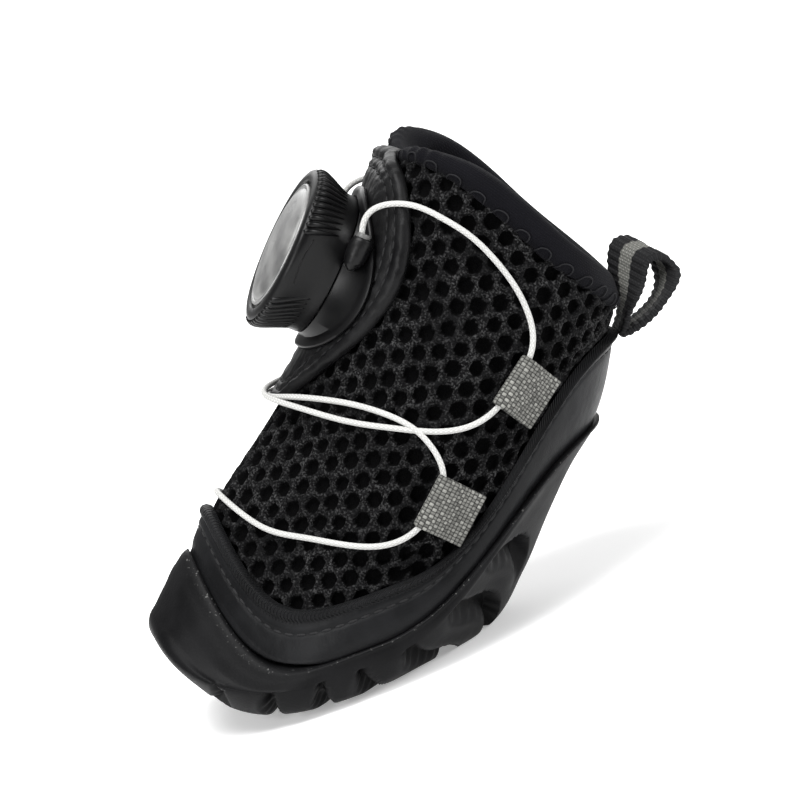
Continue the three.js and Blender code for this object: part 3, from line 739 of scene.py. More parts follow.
def copies(model, matrices, name):
    """Copies of one modelled piece, each with its own mesh, joined into one."""
    made = []
    for matrix in matrices:
        mesh = model.data.copy()
        mesh.transform(matrix)
        if matrix.determinant() < 0:
            mesh.flip_normals()
        copy = bpy.data.objects.new(name, mesh)
        bpy.context.collection.objects.link(copy)
        made.append(copy)
    whole = joined(made)
    bpy.data.objects.remove(model, do_unlink=True)
    return whole


def frame_at(spot, ahead, up):
    """A matrix that puts a model's X along ahead and its Z along up, at a place in millimetres."""
    x = Vector(ahead).normalized()
    z = Vector(up)
    z = (z - x * z.dot(x)).normalized()
    y = z.cross(x)
    matrix = Matrix((x, y, z)).transposed().to_4x4()
    matrix.translation = Vector((np.asarray(spot) + SHIFT) * MM)
    return matrix


def stitch_model(length, width, height):
    """One sewn stitch: a squashed ball drawn out along X, its ends dipping in."""
    bpy.ops.object.select_all(action="DESELECT")
    bpy.ops.mesh.primitive_uv_sphere_add(segments=8, ring_count=6, radius=0.5)
    model = bpy.context.object
    bpy.ops.object.mode_set(mode="EDIT")
    bpy.ops.mesh.select_all(action="SELECT")
    bpy.ops.transform.rotate(value=math.pi / 2, orient_axis="Y", center_override=(0, 0, 0))
    size = (length * MM, width * MM, height * MM)
    bpy.ops.transform.resize(value=size, center_override=(0, 0, 0))
    bpy.ops.object.mode_set(mode="OBJECT")
    return model


def stitch_line(name, line, normals, pitch, length, width, height, material):
    """A row of stitches along places on the form, lying on its surface."""
    run = run_lengths(line, 0)
    count = max(2, int(run[-1] / pitch))
    at = (np.arange(count) + 0.5) * run[-1] / count
    spots = read_off(line, run, at)
    ahead = read_off(line, run, at + 0.3) - read_off(line, run, at - 0.3)
    ups = read_off(normals, run, at)
    model = stitch_model(length, width, height)
    matrices = [frame_at(*spot) for spot in zip(spots, ahead, ups)]
    dress(copies(model, matrices, name), name, material)


def tube(line, radius, sides=12):
    """A round cord along places in millimetres, closed at both ends. radius may change along it."""
    radius = np.broadcast_to(radius, len(line))
    ahead = unit(np.gradient(line, axis=0))
    side = unit(np.cross(ahead[0], [0.1, 0.2, 1.0]))
    first = []
    for step in ahead:
        side = unit(side - step * np.dot(side, step))
        first.append(side)
    first = np.array(first)
    second = np.cross(ahead, first)
    angle = np.linspace(0, 2 * math.pi, sides + 1)
    ring = first[:, None] * np.cos(angle)[:, None] + second[:, None] * np.sin(angle)[:, None]
    grid = line[:, None] + ring * radius[:, None, None]
    start = np.repeat(line[:1, None], sides + 1, axis=1)
    end = np.repeat(line[-1:, None], sides + 1, axis=1)
    grid = np.concatenate([start, grid, end])
    run = run_lengths(line, 0)
    run = np.concatenate([run[:1], run, run[-1:]])
    round_it = np.broadcast_to(angle * radius.max(), grid.shape[:2])
    uv = np.stack([np.broadcast_to(run[:, None], grid.shape[:2]), round_it], axis=-1)
    return wrapped(grid, uv)


# ---- Outsole -------------------------------------------------------------------------------------
# where each groove meets the middle line; the last one, at the heel, is cut at the sides only
GROOVE_STARTS = (5.5, -4, -13.5, -23, -34, -46.5, 13.5)
HEEL_GROOVE = 13.5
GROOVE_SWING = 6.7
GROOVE_HALF_WAVE = 14.5
GROOVE_DEEP = 2.8
TEETH_PITCH = 2.3
SOLE_ROWS = (36, 20, 18, 20, 14, 10)
GAP = 0.3


def tread_depth(places, level):
    """How far the tread is sunk at each place, and how rubbed the lug is there."""
    x = np.abs(places[..., 0])
    y = places[..., 1]
    z = places[..., 2]
    climb = 0.6 * np.clip((-y - 12) / 10, 0, 1)
    along = y - climb * z
    swing = GROOVE_SWING * (1 - np.cos(math.pi * x / GROOVE_HALF_WAVE)) / 2
    slope = GROOVE_SWING * math.pi / GROOVE_HALF_WAVE / 2 * np.sin(math.pi * x / GROOVE_HALF_WAVE)
    square = 1 / np.sqrt(1 + slope**2)
    up_flank = smooth(CUP_EDGE - 0.3, CUP_NOSE + 0.35, level)
    depth = np.zeros_like(x)
    rubbed = np.zeros_like(x)
    for start in GROOVE_STARTS:
        across = (along - start - swing) * square
        narrow = 1 + 0.7 * up_flank**2
        near = across * narrow
        slanted = smooth(-2.5, 0.4, near) * (near < 1.0)
        square_wall = smooth(1.85, 1.45, near) * (near >= 1.0)
        here = slanted + square_wall
        teeth = 0.5 + 0.5 * np.cos(2 * math.pi * x / TEETH_PITCH)
        wall = np.exp(-(((near + 0.9) / 0.75) ** 2))
        here = np.clip(here - 0.16 * teeth * wall, 0, 1)
        deep = smooth(10, 14, x) if start == HEEL_GROOVE else 1.0
        depth = np.maximum(depth, here * deep)
        rear_edge = np.exp(-(((near + 2.9) / 0.8) ** 2))
        front_edge = np.exp(-(((near - 2.2) / 0.5) ** 2))
        rubbed = np.maximum(rubbed, rear_edge + front_edge)
    depth = depth * (1 - smooth(CUP_NOSE + 0.05, CUP_NOSE + 0.6, level))
    return depth * GROOVE_DEEP, np.clip(rubbed, 0, 1) * (level < CUP_NOSE)


def make_outsole():
    """The rubber cup: its tread outside, its ledge and lip, and the floor under the insole."""
    columns = 440
    turn = full_turn(columns)
    spans = [np.linspace(k, k + 1, count, endpoint=False) for k, count in enumerate(SOLE_ROWS)]
    levels = np.concatenate([*spans, [cup.last]])
    round_it, level = np.meshgrid(turn, levels)
    bare = cup.bare(round_it, level)
    normal = cup.normal(round_it, level)
    sunk, rubbed = tread_depth(bare, level)
    toe_side = smooth(0.1, 0.75, np.cos(round_it))
    ledge = 0.4 * smooth(CUP_NOSE + 0.25, CUP_NOSE + 0.55, level) * toe_side
    ledge = ledge * (1 - smooth(CUP_SHOULDER - 0.1, CUP_SHOULDER + 0.5, level))
    lip = 0.2 * smooth(CUP_RIM - 0.5, CUP_RIM - 0.2, level)
    lip = lip - 0.3 * smooth(CUP_RIM - 0.16, CUP_RIM, level)
    outside = bare + normal * (lip - ledge - sunk)[..., None]
    outside[..., 2] = np.maximum(outside[..., 2], 0)
    outside[0] = (0, HUB_Y, 0)
    inside = [upper.place(turn, level, 0.6) for level in (SEAM - 0.12, 1.5, 1.0, 0.5, 0.0)]
    floor = []
    for ring in (
        ring_of((-22, 5), (12.5, -8, 4.7), (8.5, 4.8), 2.2, trim=2),
        ring_of((-14, 4.6), (5, -6, 4.6), (2, 4.6), 2, trim=2),
    ):
        floor.append(ring_places(ring, turn))
    hub = np.broadcast_to(np.array([0, HUB_Y, 4.6]), floor[0].shape)
    grid = np.concatenate([outside, np.stack([*inside, *floor, hub])])
    extra = np.zeros((len(grid) - len(outside), columns + 1))
    seam = np.concatenate([np.exp(-(((level - CUP_RIM + 0.12) / 0.11) ** 2)), extra])
    # the grooves' depth, for the painted shade that darkens them in the rubber's colour
    dark = np.concatenate([np.clip(sunk / GROOVE_DEEP, 0, 1) ** 1.5, extra])
    marks = {"rubbed": np.concatenate([rubbed, extra]), "seam": seam, "sunk": dark}
    piece = wrapped(grid, map_of(grid, columns // 2), marks)
    dress(piece, "outsole_rubber", RUBBER, ("outsole",))


make_outsole()


# ---- Upper: net and lining -----------------------------------------------------------------------
HOLE_PITCH = 3.9
HOLE_WIDE = 1.36
FRONT_UP = np.array([0, 0.71, 0.704])
FRONT_OUT = np.array([0, -0.704, 0.71])


def net_holes(grid, middle):
    """How far each place is inside a hole of the net, 0 on the yarn to 1 in the middle."""
    step = np.diff(grid, axis=1)
    sideways = np.hypot(step[..., 0], step @ FRONT_OUT)
    zero = np.zeros_like(sideways[:, :1])
    run = np.cumsum(np.concatenate([zero, sideways], axis=1), axis=1)
    u = run - run[:, middle : middle + 1]
    v = grid @ FRONT_UP
    row_step = HOLE_PITCH * math.sqrt(3) / 2
    best = np.full(u.shape, 99.0)
    row = np.rint(u / row_step)
    for row_shift in (-1, 0, 1):
        this_row = row + row_shift
        offset = np.where(np.mod(this_row, 2) > 0.5, HOLE_PITCH / 2, 0)
        column = np.rint((v - offset) / HOLE_PITCH)
        chance = np.sin(this_row * 12.9898 + column * 78.233) * 43758.5453
        jitter = chance - np.floor(chance)
        du = u - this_row * row_step - (jitter - 0.5) * 0.5
        dv = v - column * HOLE_PITCH - offset - (np.mod(jitter * 7, 1) - 0.5) * 0.5
        size = 0.9 + 0.2 * np.mod(jitter * 13, 1)
        corner = 1 + 0.05 * np.cos(6 * np.arctan2(du, dv))
        best = np.minimum(best, np.hypot(du, dv) / size / corner)
    return best


def make_upper():
    """The net of the shaft, and the knit that lines it."""
    columns = 460
    rows = 150
    turn = full_turn(columns)
    levels = np.linspace(CAP - 0.35, MOUTH + 0.12, rows + 1)
    round_it, level = np.meshgrid(turn, levels)
    bare = upper.bare(round_it, level)
    normal = upper.normal(round_it, level)
    distance = net_holes(bare, columns // 2)
    inside = smooth(HOLE_WIDE + 0.22, HOLE_WIDE - 0.3, distance)
    yarn = 0.16 * np.cos(np.clip((distance - HOLE_WIDE - 0.45) / 0.6, -1, 1) * math.pi / 2)
    out = yarn - 0.1 - 1.15 * inside
    grid = bare + normal * out[..., None]
    # where the holes are, for their near-black colour: the lining behind them and painted shade
    marks = {"hole": smooth(0.25, 0.95, inside)}
    piece = wrapped(grid, map_of(grid, columns // 2), marks)
    dress(piece, "upper_net", NET, ("upper",))

    columns = 180
    turn = full_turn(columns)
    heights = np.linspace(0.05, MOUTH + 0.1, 44)
    outer = np.stack([upper.place(turn, height, -1.38) for height in heights])
    inner = np.stack([upper.place(turn, height, -1.95) for height in heights[::-1]])
    grid = np.concatenate([outer, inner, outer[:1]])
    piece = wrapped(grid, map_of(grid, columns // 2))
    dress(piece, "upper_lining", LINING, ("upper",))


make_upper()


def make_insole():
    """The padded bed that lies in the cup."""
    columns = 160
    turn = full_turn(columns)
    rims = (
        ring_of((-22, 5.3), (12.5, -8, 5.0), (8.5, 5.1), 2.2, trim=2),
        ring_of((-14, 4.9), (5, -6, 4.9), (2, 4.9), 2, trim=2),
    )
    under = [ring_places(ring, turn) for ring in rims]
    foot = upper.place(turn, 0.02, -2.5) + np.array([0, 0, 0.55])
    edge = upper.place(turn, 0.3, -2.4)
    middle = edge.mean(axis=0)
    rounded = edge + (middle - edge) * 0.03 + np.array([0, 0, 0.35])
    inner = edge * np.array([0.92, 0.92, 1])
    tops = [row + np.array([0, 0, 2.4]) for row in under]
    hub = np.broadcast_to(np.array([0, HUB_Y, 4.9]), foot.shape)
    crown = np.broadcast_to(np.array([0, HUB_Y, 7.3]), foot.shape)
    grid = np.stack([hub, under[1], under[0], foot, edge, rounded, inner, tops[0], tops[1], crown])
    piece = wrapped(grid, map_of(grid, columns // 2))
    dress(piece, "insole_bed", INSOLE, ("insole",))


make_insole()


# ---- Rand ----------------------------------------------------------------------------------------
RAND_LOW = SEAM + 0.06
RAND_OUT = 1.5


def strip_height(turn, low, high):
    """How tall the upper's surface is from one level to another, at each turn."""
    levels = np.linspace(low, high, 13)
    return run_lengths(upper.bare(turn[None, :], levels[:, None]), 0)[-1]


def rand_level(turn, below_top):
    return CAP - np.minimum(below_top / strip_height(turn, SEAM, CAP), CAP - RAND_LOW)


def make_rand():
    """The band sewn on round the upper's foot, down into the outsole's cup."""
    columns = 420
    turn = full_turn(columns)
    # below the top edge, and height over the upper: a rolled binding, a sewn groove, then plain
    section = (
        (0.0, 0.35), (0.0, 0.9), (0.12, 1.5), (0.45, 1.95), (0.9, 2.1), (1.4, 1.98), (1.75, 1.62),
        (2.0, 1.38), (2.3, 1.46), (2.8, 1.52), (3.3, 1.46), (3.6, 1.26), (3.9, 1.26), (4.2, 1.46),
        (4.8, 1.52),
    )
    rows = []
    rolled = []
    for below, out in section:
        rows.append(upper.place(turn, rand_level(turn, below), out))
        rolled.append(smooth(2.2, 1.6, below))
    low_edge = rand_level(turn, 4.8)
    for part in np.linspace(0.12, 1, 10):
        level = low_edge + (RAND_LOW - low_edge) * part
        rows.append(upper.place(turn, level, RAND_OUT + 0.25 * math.sin(part * math.pi) * 0.6))
        rolled.append(0.0)
    rows.append(upper.place(turn, SEAM - 0.05, RAND_OUT + 0.1))
    rows.append(upper.place(turn, SEAM - 0.14, RAND_OUT - 0.4))
    rolled += [0.0, 0.0]
    for part in np.linspace(0, 1, 5):
        rows.append(upper.place(turn, RAND_LOW + (CAP - RAND_LOW) * part, GAP + 0.02))
        rolled.append(0.0)
    rows.append(rows[0])
    rolled.append(1.0)
    grid = np.stack(rows)
    marks = {"rolled": np.repeat(np.array(rolled)[:, None], columns + 1, axis=1)}
    piece = wrapped(grid, map_of(grid, columns // 2), marks)
    dress(piece, "rand_band", RAND, ("rand",))
    level = rand_level(turn, 3.75)
    line = upper.place(turn, level, 1.26)
    stitch_line("rand_stitches", line, upper.normal(turn, level), 2.3, 1.75, 0.5, 0.42, PATCH_THREAD)


make_rand()


# ---- Collar --------------------------------------------------------------------------------------
def bowed(value, power):
    return np.sign(value) * np.abs(value) ** power


def collar_place(turn, angle, lift=0.0):
    """A place on the padded band: angle 0 is its top edge, pi / 2 its outer face, pi its seam."""
    level = MOUTH + 0.52 + 0.47 * bowed(np.cos(angle), 0.7)
    return upper.place(turn, level, -1.4 + 2.7 * bowed(np.sin(angle), 0.85) + lift)


# one overlock stitch over the seam: along the seam, up the band and the height over it
STITCH = (
    (-1.7, 2.95, -0.1), (-1.45, 2.5, 0.16), (-0.9, 2.05, 0.18), (0.3, 1.85, 0.18), (1.2, 1.95, 0.22),
    (1.3, 2.5, 0.18), (1.2, 3.0, -0.1),
)
STITCH_PITCH = 4.9


def make_collar():
    """The padded band round the mouth, sewn to the net with overlock stitches."""
    columns = 300
    rows = 44
    turn = full_turn(columns)
    seam = run_lengths(upper.bare(turn, MOUTH + 0.07)[None], 1)[0]
    stitches = round(seam[-1] / STITCH_PITCH)
    beat = 0.5 + 0.5 * np.cos(2 * math.pi * stitches * seam / seam[-1])
    grid = []
    for angle in np.linspace(0, 2 * math.pi, rows + 1):
        low_outside = max(0.0, -math.cos(angle)) ** 2 * (math.sin(angle) > -0.2)
        outside = max(0.0, math.sin(angle))
        near_patch = np.exp(-(((np.abs(turn) - 0.62) / 0.3) ** 2))
        folds = 0.2 * outside * near_patch * np.sin(np.abs(turn) * 46 - 1.6 * angle)
        grid.append(collar_place(turn, angle, folds - 0.3 * low_outside * beat))
    grid = np.stack(grid)
    piece = wrapped(grid, map_of(grid, columns // 2))
    dress(piece, "collar_roll", COLLAR, ("collar",))

    per_turn = np.gradient(turn, seam)
    middles = np.interp((np.arange(stitches) + 0.5) * seam[-1] / stitches, seam, turn)
    pieces = []
    for middle in middles:
        step = np.interp(middle, turn, per_turn)
        spots = [collar_place(middle + step * along, angle, lift) for along, angle, lift in STITCH]
        pieces.append(tube(smooth_line(spots, 20), 0.13, 6))
    dress(joined(pieces), "collar_stitches", PALE_THREAD)


make_collar()


# ---- Shaft front: patch and dial -----------------------------------------------------------------
FRONT_TIP = np.array([0, -8.0, 46.7])
DIAL_UP_FRONT = 25.2
PATCH_TOP = 2.0
# up the front line from its tip, and half the patch's width there
PATCH_OUTLINE = (
    (0.5, 2.0), (4, 5.0), (9, 9.2), (15, 13.6), (21, 16.6), (28, 18.2), (35, 17.6), (41, 15.4),
    (45, 12.4), (46.6, 8),
)


def front_table():
    """Turn and level on the shaft's front for a net of x and height up the front line."""
    turns = np.linspace(0, 1.5, 160)
    levels = np.linspace(CAP + 0.6, MOUTH + 0.4, 160)
    net = upper.bare(turns[None, :], levels[:, None])
    return turns, levels, net[..., 0], (net - FRONT_TIP) @ FRONT_UP


TABLE_TURNS, TABLE_LEVELS, TABLE_X, TABLE_UP = front_table()


def on_front(x, up):
    """Turns and levels for x and height up the front line: nearest in the table, then drawn in."""
    nudge, leap = 0.002, 0.03
    x = np.asarray(x, float)
    up = np.asarray(up, float)
    turn = np.empty(x.size)
    level = np.empty(x.size)
    for k, (one_x, one_up) in enumerate(zip(np.abs(x).ravel(), up.ravel())):
        miss = (TABLE_X - one_x) ** 2 + (TABLE_UP - one_up) ** 2
        row, column = np.unravel_index(np.argmin(miss), miss.shape)
        turn[k] = TABLE_TURNS[column]
        level[k] = TABLE_LEVELS[row]
    wanted_x = np.abs(x).ravel()
    wanted_up = up.ravel()
    for _ in range(8):
        here = upper.bare(turn, level)
        by_turn = (upper.bare(turn + nudge, level) - here) / nudge
        by_level = (upper.bare(turn, level + nudge) - here) / nudge
        a, b = by_turn[:, 0], by_level[:, 0]
        c, d = by_turn @ FRONT_UP, by_level @ FRONT_UP
        miss_x = wanted_x - here[:, 0]
        miss_up = wanted_up - (here - FRONT_TIP) @ FRONT_UP
        det = a * d - b * c
        det = np.where(np.abs(det) < 1e-9, 1e-9, det)
        turn = np.clip(turn + np.clip((d * miss_x - b * miss_up) / det, -leap, leap), 0.0005, 1.6)
        level = np.clip(level + np.clip((a * miss_up - c * miss_x) / det, -leap, leap), CAP, BRIM)
    turn = turn * np.where(x.ravel() < 0, -1, 1)
    return turn.reshape(x.shape), level.reshape(x.shape)


def over_front(spots, out):
    """Places over the upper, for rows of x and height up the front line."""
    return upper.place(*on_front(spots[:, 0], spots[:, 1]), out)


def patch_outline(count):
    left = [(half, up, 0) for up, half in PATCH_OUTLINE]
    right = [(-half, up, 0) for up, half in reversed(PATCH_OUTLINE)]
    return smooth_line(left + right, count + 1, closed=True)[:, :2]


def make_patch():
    """The shield-shaped patch on the shaft's front that carries the dial."""
    columns = 200
    outline = patch_outline(columns)
    middle = np.array([0, DIAL_UP_FRONT])
    inward = middle - outline
    reach = np.linalg.norm(inward, axis=1)
    inward /= reach[:, None]
    # distance in from the outline, and height over the upper: a thick rolled rim, two sewn grooves
    section = (
        (0.1, 0.32), (0.0, 0.9), (0.12, 1.5), (0.5, 2.0), (1.0, 2.2), (1.5, 2.1), (1.9, 1.75),
        (2.2, 1.6), (2.5, 1.72), (3.0, 1.86), (3.5, 1.78), (3.8, 1.62), (4.1, 1.76), (4.8, 1.84),
        (6.0, 1.8), (8.0, 1.72),
    )
    rows = []
    for inset, out in section:
        amount = np.minimum(inset, reach * 0.8)
        step = np.arange(columns + 1) * 2 * math.pi / columns
        wrinkle = 0.09 * np.sin(step * 31 + inset * 2.1) + 0.07 * np.sin(step * 47 - inset * 1.3)
        wrinkle = wrinkle * (0.3 < inset < 6.5)
        rows.append(over_front(outline + inward * amount[:, None], out + wrinkle))
    for part in (0.45, 0.7, 1.0):
        last = outline + inward * np.minimum(8.0, reach * 0.8)[:, None]
        rows.append(over_front(last + (middle - last) * part, 1.7))
    centre = rows[-1].mean(axis=0)
    rows[-1] = np.broadcast_to(centre, rows[-1].shape)
    for part in (0.7, 0.02):
        rows.append(over_front(middle + (outline - middle) * (1 - part), 0.32))
    rows.append(rows[0])
    grid = np.stack(rows)
    piece = wrapped(grid, map_of(grid))
    dress(piece, "patch_shield", PATCH, ("dial_patch",))
    for name, inset, out in (("patch_stitches_outer", 2.15, 1.58), ("patch_stitches_inner", 3.8, 1.62)):
        spot = outline + inward * np.minimum(inset, reach * 0.8)[:, None]
        turn, level = on_front(spot[:, 0], spot[:, 1])
        line = upper.place(turn, level, out + 0.06)
        stitch_line(name, line, upper.normal(turn, level), 2.2, 1.6, 0.42, 0.36, PATCH_THREAD)


make_patch()

DIAL_FOOT = FRONT_TIP + FRONT_UP * DIAL_UP_FRONT + FRONT_OUT * PATCH_TOP
dial_matrix = Matrix(((1, 0, 0), tuple(FRONT_UP), tuple(FRONT_OUT))).transposed().to_4x4()
dial_matrix.translation = Vector((DIAL_FOOT + SHIFT) * MM)
SEAT_TOP = 1.1
KNOB_FOOT = 1.4
DISC_FOOT = 9.8
PORT_SIDE = 13.9
PORT_UP = 7.2
PORT_HIGH = 0.2


def at_dial(x, up, height):
    """Places by the dial: x, up the front from its middle, and height over its foot."""
    x, up, height = (np.asarray(value, float)[..., None] for value in (x, up, height))
    return DIAL_FOOT + x * ACROSS + up * FRONT_UP + height * FRONT_OUT


def turned_piece(profile, sides, foot):
    """A circle drawn up through a list of (radius, height), in millimetres, closed at both ends."""
    bpy.ops.object.select_all(action="DESELECT")
    radius, height = profile[0]
    bpy.ops.mesh.primitive_circle_add(
        vertices=sides, radius=radius * MM, fill_type="NGON", location=(0, 0, (foot + height) * MM)
    )
    piece = bpy.context.object
    bpy.ops.object.transform_apply(location=True, rotation=False, scale=False)
    bpy.ops.object.mode_set(mode="EDIT")
    bpy.ops.mesh.select_all(action="SELECT")
    for new_radius, new_height in profile[1:]:
        rise = (new_height - height) * MM
        bpy.ops.mesh.extrude_region_move(TRANSFORM_OT_translate={"value": (0, 0, rise)})
        bpy.ops.transform.resize(
            value=(new_radius / radius, new_radius / radius, 1),
            center_override=(0, 0, (foot + new_height) * MM),
        )
        radius, height = new_radius, new_height
    bpy.ops.mesh.select_all(action="SELECT")
    bpy.ops.mesh.normals_make_consistent(inside=False)
    bpy.ops.object.mode_set(mode="OBJECT")
    return piece


# radius and height over the foot, from the wheel's foot over its flare to the rim round the disc
WHEEL = (
    (11.6, 0), (12.35, 0), (12.45, 0.3), (12.45, 1.2), (12.55, 2.2), (12.85, 3.4), (13.3, 4.7),
    (13.75, 6.0), (14.05, 7.0), (14.15, 7.6), (14.1, 8.15), (13.75, 8.6), (13.2, 8.85), (12.5, 8.92),
    (11.95, 8.8), (11.75, 8.5), (11.7, 8.1), (11.0, 8.02),
)
FLARE = WHEEL[1:12]
DISC = (
    (10.0, 0), (11.15, 0), (11.2, 0.15), (11.2, 0.3), (11.1, 0.5), (10.85, 0.6), (10.6, 0.55),
    (10.45, 0.4), (10.3, 0.4), (10.1, 0.62), (9.4, 0.95), (8.0, 1.16), (6.0, 1.34), (4.0, 1.44),
    (2.0, 1.49), (0.6, 1.5),
)
# one rib from the wheel's rim to its waist: height over the foot, slant round the wheel and thickness
GRIP_RIB = (
    (8.35, 1.2, 0.42), (7.8, 0.95, 0.6), (6.8, 0.5, 0.62), (5.6, 0.0, 0.54), (4.3, -0.5, 0.42),
    (3.1, -0.9, 0.28), (2.2, -1.15, 0.12),
)
# three groups of ribs round the wheel with a plain panel between each, in degrees
RIB_GROUPS = range(-66, 294, 120)
RIB_STEP = 5.4
RIBS_EACH = 13
PANELS = (30, 150, 270)


def wheel_radius(height):
    return np.interp(height, [row[1] for row in FLARE], [row[0] for row in FLARE])


def tapered(line, thick, count):
    """Places on a smooth line through a few points, and the thickness at each."""
    run = run_lengths(np.array(line), 0)
    return smooth_line(line, count), np.interp(np.linspace(0, run[-1], count), run, thick)


def grip_rib():
    """One grip rib, lying on the wheel's flare at the wheel's +Y side."""
    line = [(slant, wheel_radius(height) - 0.1, KNOB_FOOT + height) for height, slant, _ in GRIP_RIB]
    places, thick = tapered(line, [row[2] for row in GRIP_RIB], 14)
    return tube(places - SHIFT, thick, 8)


def engraved_line():
    """A thin groove line round part of the plain panel, as one bent cord sunk in the wheel."""
    angles = np.radians(np.linspace(-17, 17, 24))
    height = 6.2 + 0.5 * np.cos(angles * 5.3)
    radius = wheel_radius(height) - 0.02
    line = np.stack([radius * np.sin(angles), radius * np.cos(angles), KNOB_FOOT + height], axis=-1)
    return tube(line - SHIFT, 0.11, 6)


def round_the_dial(piece, degrees, name):
    turns = [dial_matrix @ Matrix.Rotation(math.radians(angle), 4, "Z") for angle in degrees]
    return copies(piece, turns, name)


def make_wheel():
    """The dial's ribbed wheel and the silver disc on it."""
    wheel = turned_piece(WHEEL, 128, KNOB_FOOT)
    wheel.data.transform(dial_matrix)
    dress(wheel, "dial_wheel", GRIP_PLASTIC, ("dial_knob",), 40)
    turns = [start + k * RIB_STEP for start in RIB_GROUPS for k in range(RIBS_EACH)]
    ribs = round_the_dial(grip_rib(), turns, "dial_ribs")
    dress(ribs, "dial_ribs", GRIP_PLASTIC)
    lines = round_the_dial(engraved_line(), PANELS, "dial_panel_lines")
    dress(lines, "dial_panel_lines", BLACK_PLASTIC)
    disc = turned_piece(DISC, 128, DISC_FOOT)
    disc.data.transform(dial_matrix)
    dress(disc, "dial_face", SILVER, ("dial_disc",), 30)


def over_patch(x, up, height):
    """Places at a height over the upper, for x and distance up the front from the dial's middle."""
    turn, level = on_front(np.asarray(x, float), DIAL_UP_FRONT + np.asarray(up, float))
    return upper.place(turn, level, PATCH_TOP + height)


FLANGE = (
    (8, -0.1), (13.8, -0.1), (14.6, 0.0), (14.75, 0.3), (14.7, 0.62), (14.35, 0.85), (13.7, 0.9),
    (12.9, 0.85),
)
DRUM = ((12.45, 0.9), (12.3, SEAT_TOP), (8.0, SEAT_TOP))


def make_base():
    """The wheel's seat: a thin flange that follows the patch, and a low drum."""
    columns = 144
    angles = np.linspace(0, 2 * math.pi, columns + 1)
    x, up = np.sin(angles), np.cos(angles)
    rows = [over_patch(radius * x, radius * up, height) for radius, height in FLANGE]
    rows += [at_dial(radius * x, radius * up, height) for radius, height in DRUM]
    rows.append(rows[0])
    grid = np.stack(rows)
    base = wrapped(grid, map_of(grid))
    dress(base, "dial_base_flange", BLACK_PLASTIC, ("dial_base",), 50)


# a port's rounded housing: up from the dial's middle, height and radius
HOUSING = (
    (2.2, -0.7, 0.2), (2.35, -0.5, 1.0), (3.2, -0.1, 1.7), (4.5, 0.0, 1.95), (6.2, 0.0, 2.0),
    (7.2, -0.1, 1.9), (7.7, -0.1, 1.7), (7.85, -0.1, 1.2), (7.7, -0.1, 0.2),
)
HOUSING_SIDE = 13.75
# the smoke-coloured ring at a port's mouth: up from the dial's middle, and radius
FERRULE = ((PORT_UP, 1.2), (8.3, 1.2), (8.5, 1.05), (8.5, 0.75), (PORT_UP, 0.75))


def make_ports():
    """The two lace ports, each with its ferrule."""
    for side, name in ((1, "left"), (-1, "right")):
        line = [at_dial(HOUSING_SIDE * side, up, height) for up, height, _ in HOUSING]
        housing = tube(*tapered(line, [row[2] for row in HOUSING], 40), 20)
        dress(housing, f"dial_port_{name}", BLACK_PLASTIC)
        turn = np.linspace(0, 2 * math.pi, 25)
        rings = []
        for up, radius in FERRULE:
            x = PORT_SIDE * side + radius * np.cos(turn)
            rings.append(at_dial(x, up, PORT_HIGH - radius * np.sin(turn)))
        rings.append(rings[0])
        grid = np.stack(rings)
        ferrule = wrapped(grid, map_of(grid))
        dress(ferrule, f"dial_ferrule_{name}", SMOKE_PLASTIC, (), 50)


make_wheel()
make_base()
make_ports()


# ---- Lace and webbing loops ----------------------------------------------------------------------
LOOPS = {
    "upper": dict(top=(111.5, 4.9), foot=(105.5, 4.46), reach=5.9),
    "lower": dict(top=(95.4, 3.97), foot=(90.6, 3.56), reach=6.3),
}
LOOP_WIDE = 9.6
FOLD_RISE = 2.05
FOLD_RADIUS = 1.27
LACE_WIDE = 1.1


def loop_frame(loop):
    """A webbing loop's middle on the upper, and its directions: along the lace, down and out."""
    turns = np.radians([loop["top"][0], loop["foot"][0]])
    ends = upper.bare(turns, np.array([loop["top"][1], loop["foot"][1]]))
    middle = ends.mean(axis=0)
    up = upper.normal(turns.mean(), (loop["top"][1] + loop["foot"][1]) / 2)
    along = ends[0] - ends[1]
    along = unit(along - up * np.dot(along, up))
    down = np.cross(up, along)
    if down[2] > 0:
        down = -down
    return middle, along, down, up


def strap_map(run, section):
    """A strap's map in millimetres: along it and across it."""
    across, along = np.meshgrid([row[0] for row in section], run)
    return np.stack([along, across], axis=-1)


